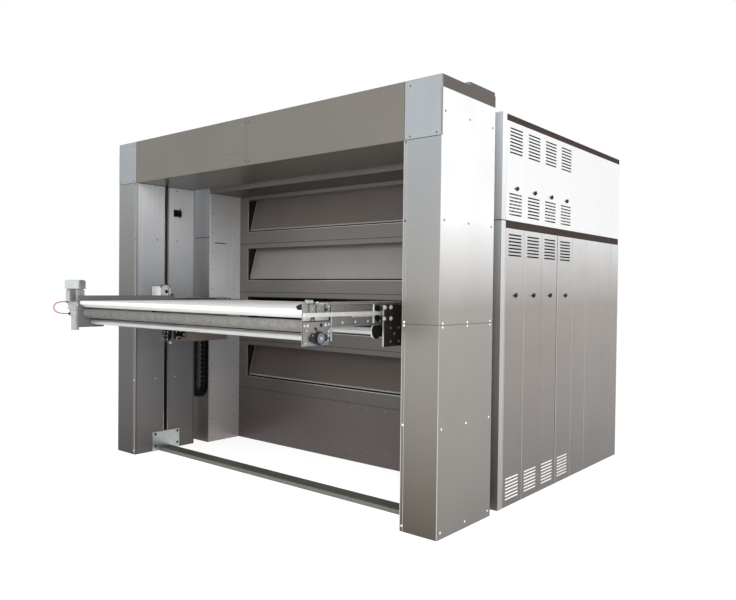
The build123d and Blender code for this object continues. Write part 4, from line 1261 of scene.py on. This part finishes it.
    def fittings(self) -> None:
        """Adds the pneumatic fittings on the left frame, low enough to pass under an open door."""
        dark, bright = Shape(), Shape()
        for y, width in ((-1860, 22), (-1790, 30), (-1722, 16), (-1640, 26), (-1560, 20), (-1527, 26), (-1490, 34),
                         (-1440, 18)):
            dark.block((-1374, y, 1500), (-1354, y + width, 1509), 2)
            bright.rod((-1364, y + width / 2, 1507), UP, 5, 5, 16, 1)
        for y, rise in ((-1962, 22), (-1946, 12)):
            dark.block((-1374, y - 6, 1534), (-1354, y + 6, 1536 + rise), 2)
            bright.rod((-1364, y, 1534 + rise), UP, 7, 5, 16, 1)
        dark.block((-1362, -1930, 1500), (-1352, -1420, 1506), 1)
        dark.piece("air_fittings", BLACK_NYLON, self.body)
        bright.piece("air_fitting_caps", TABLE_BOLT, self.body)

    def build(self, frame: dict) -> None:
        """Dresses the table and adds its pieces."""
        self.dress(frame)
        self.racks()
        self.end_plate()
        self.left_end()
        self.fittings()


@dataclass
class BeltGearmotor:
    """The upright geared motor at the left end: output tube, gear case, finned stator and cowl."""

    body: str = "loader_table"
    x: float = -1475.0
    y: float = -2864.0
    fins: int = 28

    def housing(self) -> Shape:
        """The turned housings, from the output tube to the top of the cowl."""
        at = (self.x, self.y, 0)
        made = Shape()
        made.turned(at, UP, [(24, 1233), (30, 1233), (32, 1236), (32, 1352), (36, 1356), (46, 1356), (48, 1359),
                             (48, 1402), (44, 1408), (44, 1412), (56, 1414), (60, 1418), (60, 1428), (54, 1434),
                             (54, 1452), (60, 1458), (60, 1468), (66, 1470), (66, 1478), (61, 1481), (61, 1584),
                             (70, 1588), (70, 1594), (0, 1594)], 48)
        for step in range(self.fins):
            angle = 2 * math.pi * step / self.fins
            fin = Shape().block((58, -1.6, 1483), (75, 1.6, 1583), 0.8)
            made.stamp(fin, Matrix.Translation((self.x, self.y, 0)) @ Matrix.Rotation(angle, 4, "Z"))
        made.rod((self.x, -2829, 1383), RIGHT, 117, 28, 32, 2)
        made.turned((-1392, -2829, 1383), RIGHT, [(28, 0), (38, 0), (38, 12), (28, 12)], 32)
        return made

    def cowl(self) -> Shape:
        """The pressed fan cowl, with its rolled rim and the grille on top."""
        made = Shape()
        made.turned((self.x, self.y, 0), UP, [(80, 1592), (84, 1591), (88, 1594), (88, 1601), (85, 1604), (85, 1652),
                                              (83, 1662), (77, 1669), (70, 1671), (66, 1667), (62, 1667),
                                              (0, 1667)], 48)
        for radius in (18, 30, 42, 54):
            made.turned((self.x, self.y, 1667), UP, [(radius - 2, 0), (radius - 2, 4), (radius + 2, 4),
                                                     (radius + 2, 0)], 40)
        for step in range(4):
            rib = Shape().block((6, -2, 1667), (66, 2, 1671.5), 0.5)
            made.stamp(rib, Matrix.Translation((self.x, self.y, 0)) @ Matrix.Rotation(math.pi / 2 * step, 4, "Z"))
        return made

    def box(self) -> Shape:
        """The terminal box, its lid and the gland plate."""
        made = Shape()
        made.block((-1474, -2951, 1482), (-1406, -2893, 1574), 4)
        made.block((-1475, -2952, 1574), (-1405, -2892, 1585), 3)
        return made

    def build(self, frame: dict) -> None:
        """Makes the motor in place of its plain solid, then its bolts and glands."""
        housing = self.housing().piece("gearmotor_housing", MOTOR_PAINT, self.body)
        cowl = self.cowl().piece("gearmotor_cowl", POLISHED_COWL, self.body)
        box = self.box().piece("gearmotor_terminal_box", CAST_ALUMINIUM, self.body)
        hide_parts("belt_gearmotor")
        bolts = Shape()
        for step in range(6):
            angle = math.pi / 3 * step + 0.3
            x, y = self.x + 57 * math.cos(angle), self.y + 57 * math.sin(angle)
            bolts.bolt((x, y, 1428), UP, 8, 7)
            bolts.bolt((x, y, 1458), DOWN, 8, 7)
        for step in range(4):
            angle = math.pi / 2 * step + 0.8
            out = (math.cos(angle), math.sin(angle), 0)
            bolts.screw((self.x + 87 * out[0], self.y + 87 * out[1], 1597.5), out, 4, 1)
        for x in (-1468, -1412):
            for y in (-2946, -2898):
                bolts.screw((x, y, 1584.6), UP, 4, 1)
        bolts.piece("gearmotor_screws", SCREW_STEEL, self.body)
        glands = Shape()
        for start, heading in (((-1475, -2934, 1480), (-78, -72, 0)), ((-1475, -2912, 1376), (-78, -94, 0))):
            ahead = Vector(heading).normalized()
            at = Vector(start) - ahead * 6
            glands.turned(at, heading, [(11, 0), (11, 7), (9, 7.5), (9, 9), (11, 9.5), (11, 14), (7, 18), (4.2, 18)], 6)
        glands.piece("lead_glands", BLACK_NYLON, self.body)
        del cowl, box


@dataclass
class FeedMotor:
    """The polished motor that drives the table along its racks."""

    body: str = "loader_table"
    y: float = -2029.0
    z: float = 1580.0
    half: float = 56.5

    def build(self, frame: dict) -> None:
        """Makes the motor in place of its plain solid, with its rim, knob and flange bolts."""
        housing, bands, knob, bolts = Shape(), Shape(), Shape(), Shape()
        outline = [(self.y + self.half * y, self.z + self.half * z) for y, z in (
            (-1, -1), (1, -1), (1, 0.5), (0.92, 0.75), (0.75, 0.92), (0.5, 1), (-0.5, 1), (-0.75, 0.92), (-0.92, 0.75),
            (-1, 0.5))]
        housing.prism(outline, Grain.ACROSS, -1496, -1352)
        bands.prism([(self.y + 1.02 * (y - self.y), self.z + 1.02 * (z - self.z)) for y, z in outline[2:]]
                    + [(self.y - 0.96 * self.half, self.z + 0.5 * self.half),
                       (self.y - 0.72 * self.half, self.z + 0.88 * self.half), (self.y, self.z + 0.97 * self.half),
                       (self.y + 0.72 * self.half, self.z + 0.88 * self.half),
                       (self.y + 0.96 * self.half, self.z + 0.5 * self.half)], Grain.ACROSS, -1360, -1351)
        for z in (1538, 1622):
            for y in (self.y - 42, self.y + 42):
                bolts.bolt((-1352, y, z), RIGHT, 8, 2)
        knob.turned((-1352, self.y + 8, self.z - 8), RIGHT, [(17, 0), (17, 1.5), (12, 2), (0, 2)], 20)
        knob.block((-1353, self.y + 30, self.z - 50), (-1350.5, self.y + 34, self.z + 40))
        made = housing.piece("feed_motor_housing", POLISHED_HOUSING, self.body, 50.0)
        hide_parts("feed_motor")
        bands.piece("feed_motor_rim", BLACK_NYLON, self.body)
        knob.piece("feed_motor_knob", BLACK_NYLON, self.body)
        bolts.piece("feed_motor_bolts", SCREW_STEEL, self.body)


@dataclass
class MotorLead:
    """The short orange lead from the terminal box round to the encoder under the gear case."""

    diameter: float = 8.0
    length: float = 277.8
    route: tuple[Point, ...] = ((-1482.5, -2940.9, 1480), (-1560, -3012, 1483), (-1560, -3012, 1372),
                                (-1481.5, -2919.8, 1376))

    def build(self) -> bpy.types.Object:
        data = bpy.data.curves.new("motor_lead_sheath", "CURVE")
        data.dimensions = "3D"
        data.bevel_depth = self.diameter / 2 * MM
        data.bevel_resolution = 6
        data.resolution_u = 24
        data.use_fill_caps = True
        line = data.splines.new("NURBS")
        line.points.add(len(self.route) - 1)
        for point, place in zip(line.points, self.route):
            point.co = (*(c * MM for c in place), 1.0)
        line.order_u = 3
        line.use_endpoint_u = True
        data.materials.append(ORANGE_SHEATH.material())
        lead = bpy.data.objects.new("motor_lead_sheath", data)
        bpy.context.scene.collection.objects.link(lead)
        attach(lead, "loader_table")
        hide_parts("motor_lead")
        return lead


def main() -> None:
    """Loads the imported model, dresses it and adds the pieces that CAD leaves out."""
    logging.basicConfig(level=logging.INFO, format="%(name)s %(message)s")
    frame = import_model()
    studio = Studio()
    studio.camera()
    MotorLead().build()
    studio.surroundings()
    Portal().build(frame)
    OvenFront().build(frame)
    Cabinets().build(frame)
    EnergyChain().build()
    LiftCarriage().build(frame)
    LoaderTable().build(frame)
    BeltGearmotor().build(frame)
    FeedMotor().build(frame)


if __name__ == "__main__":
    main()
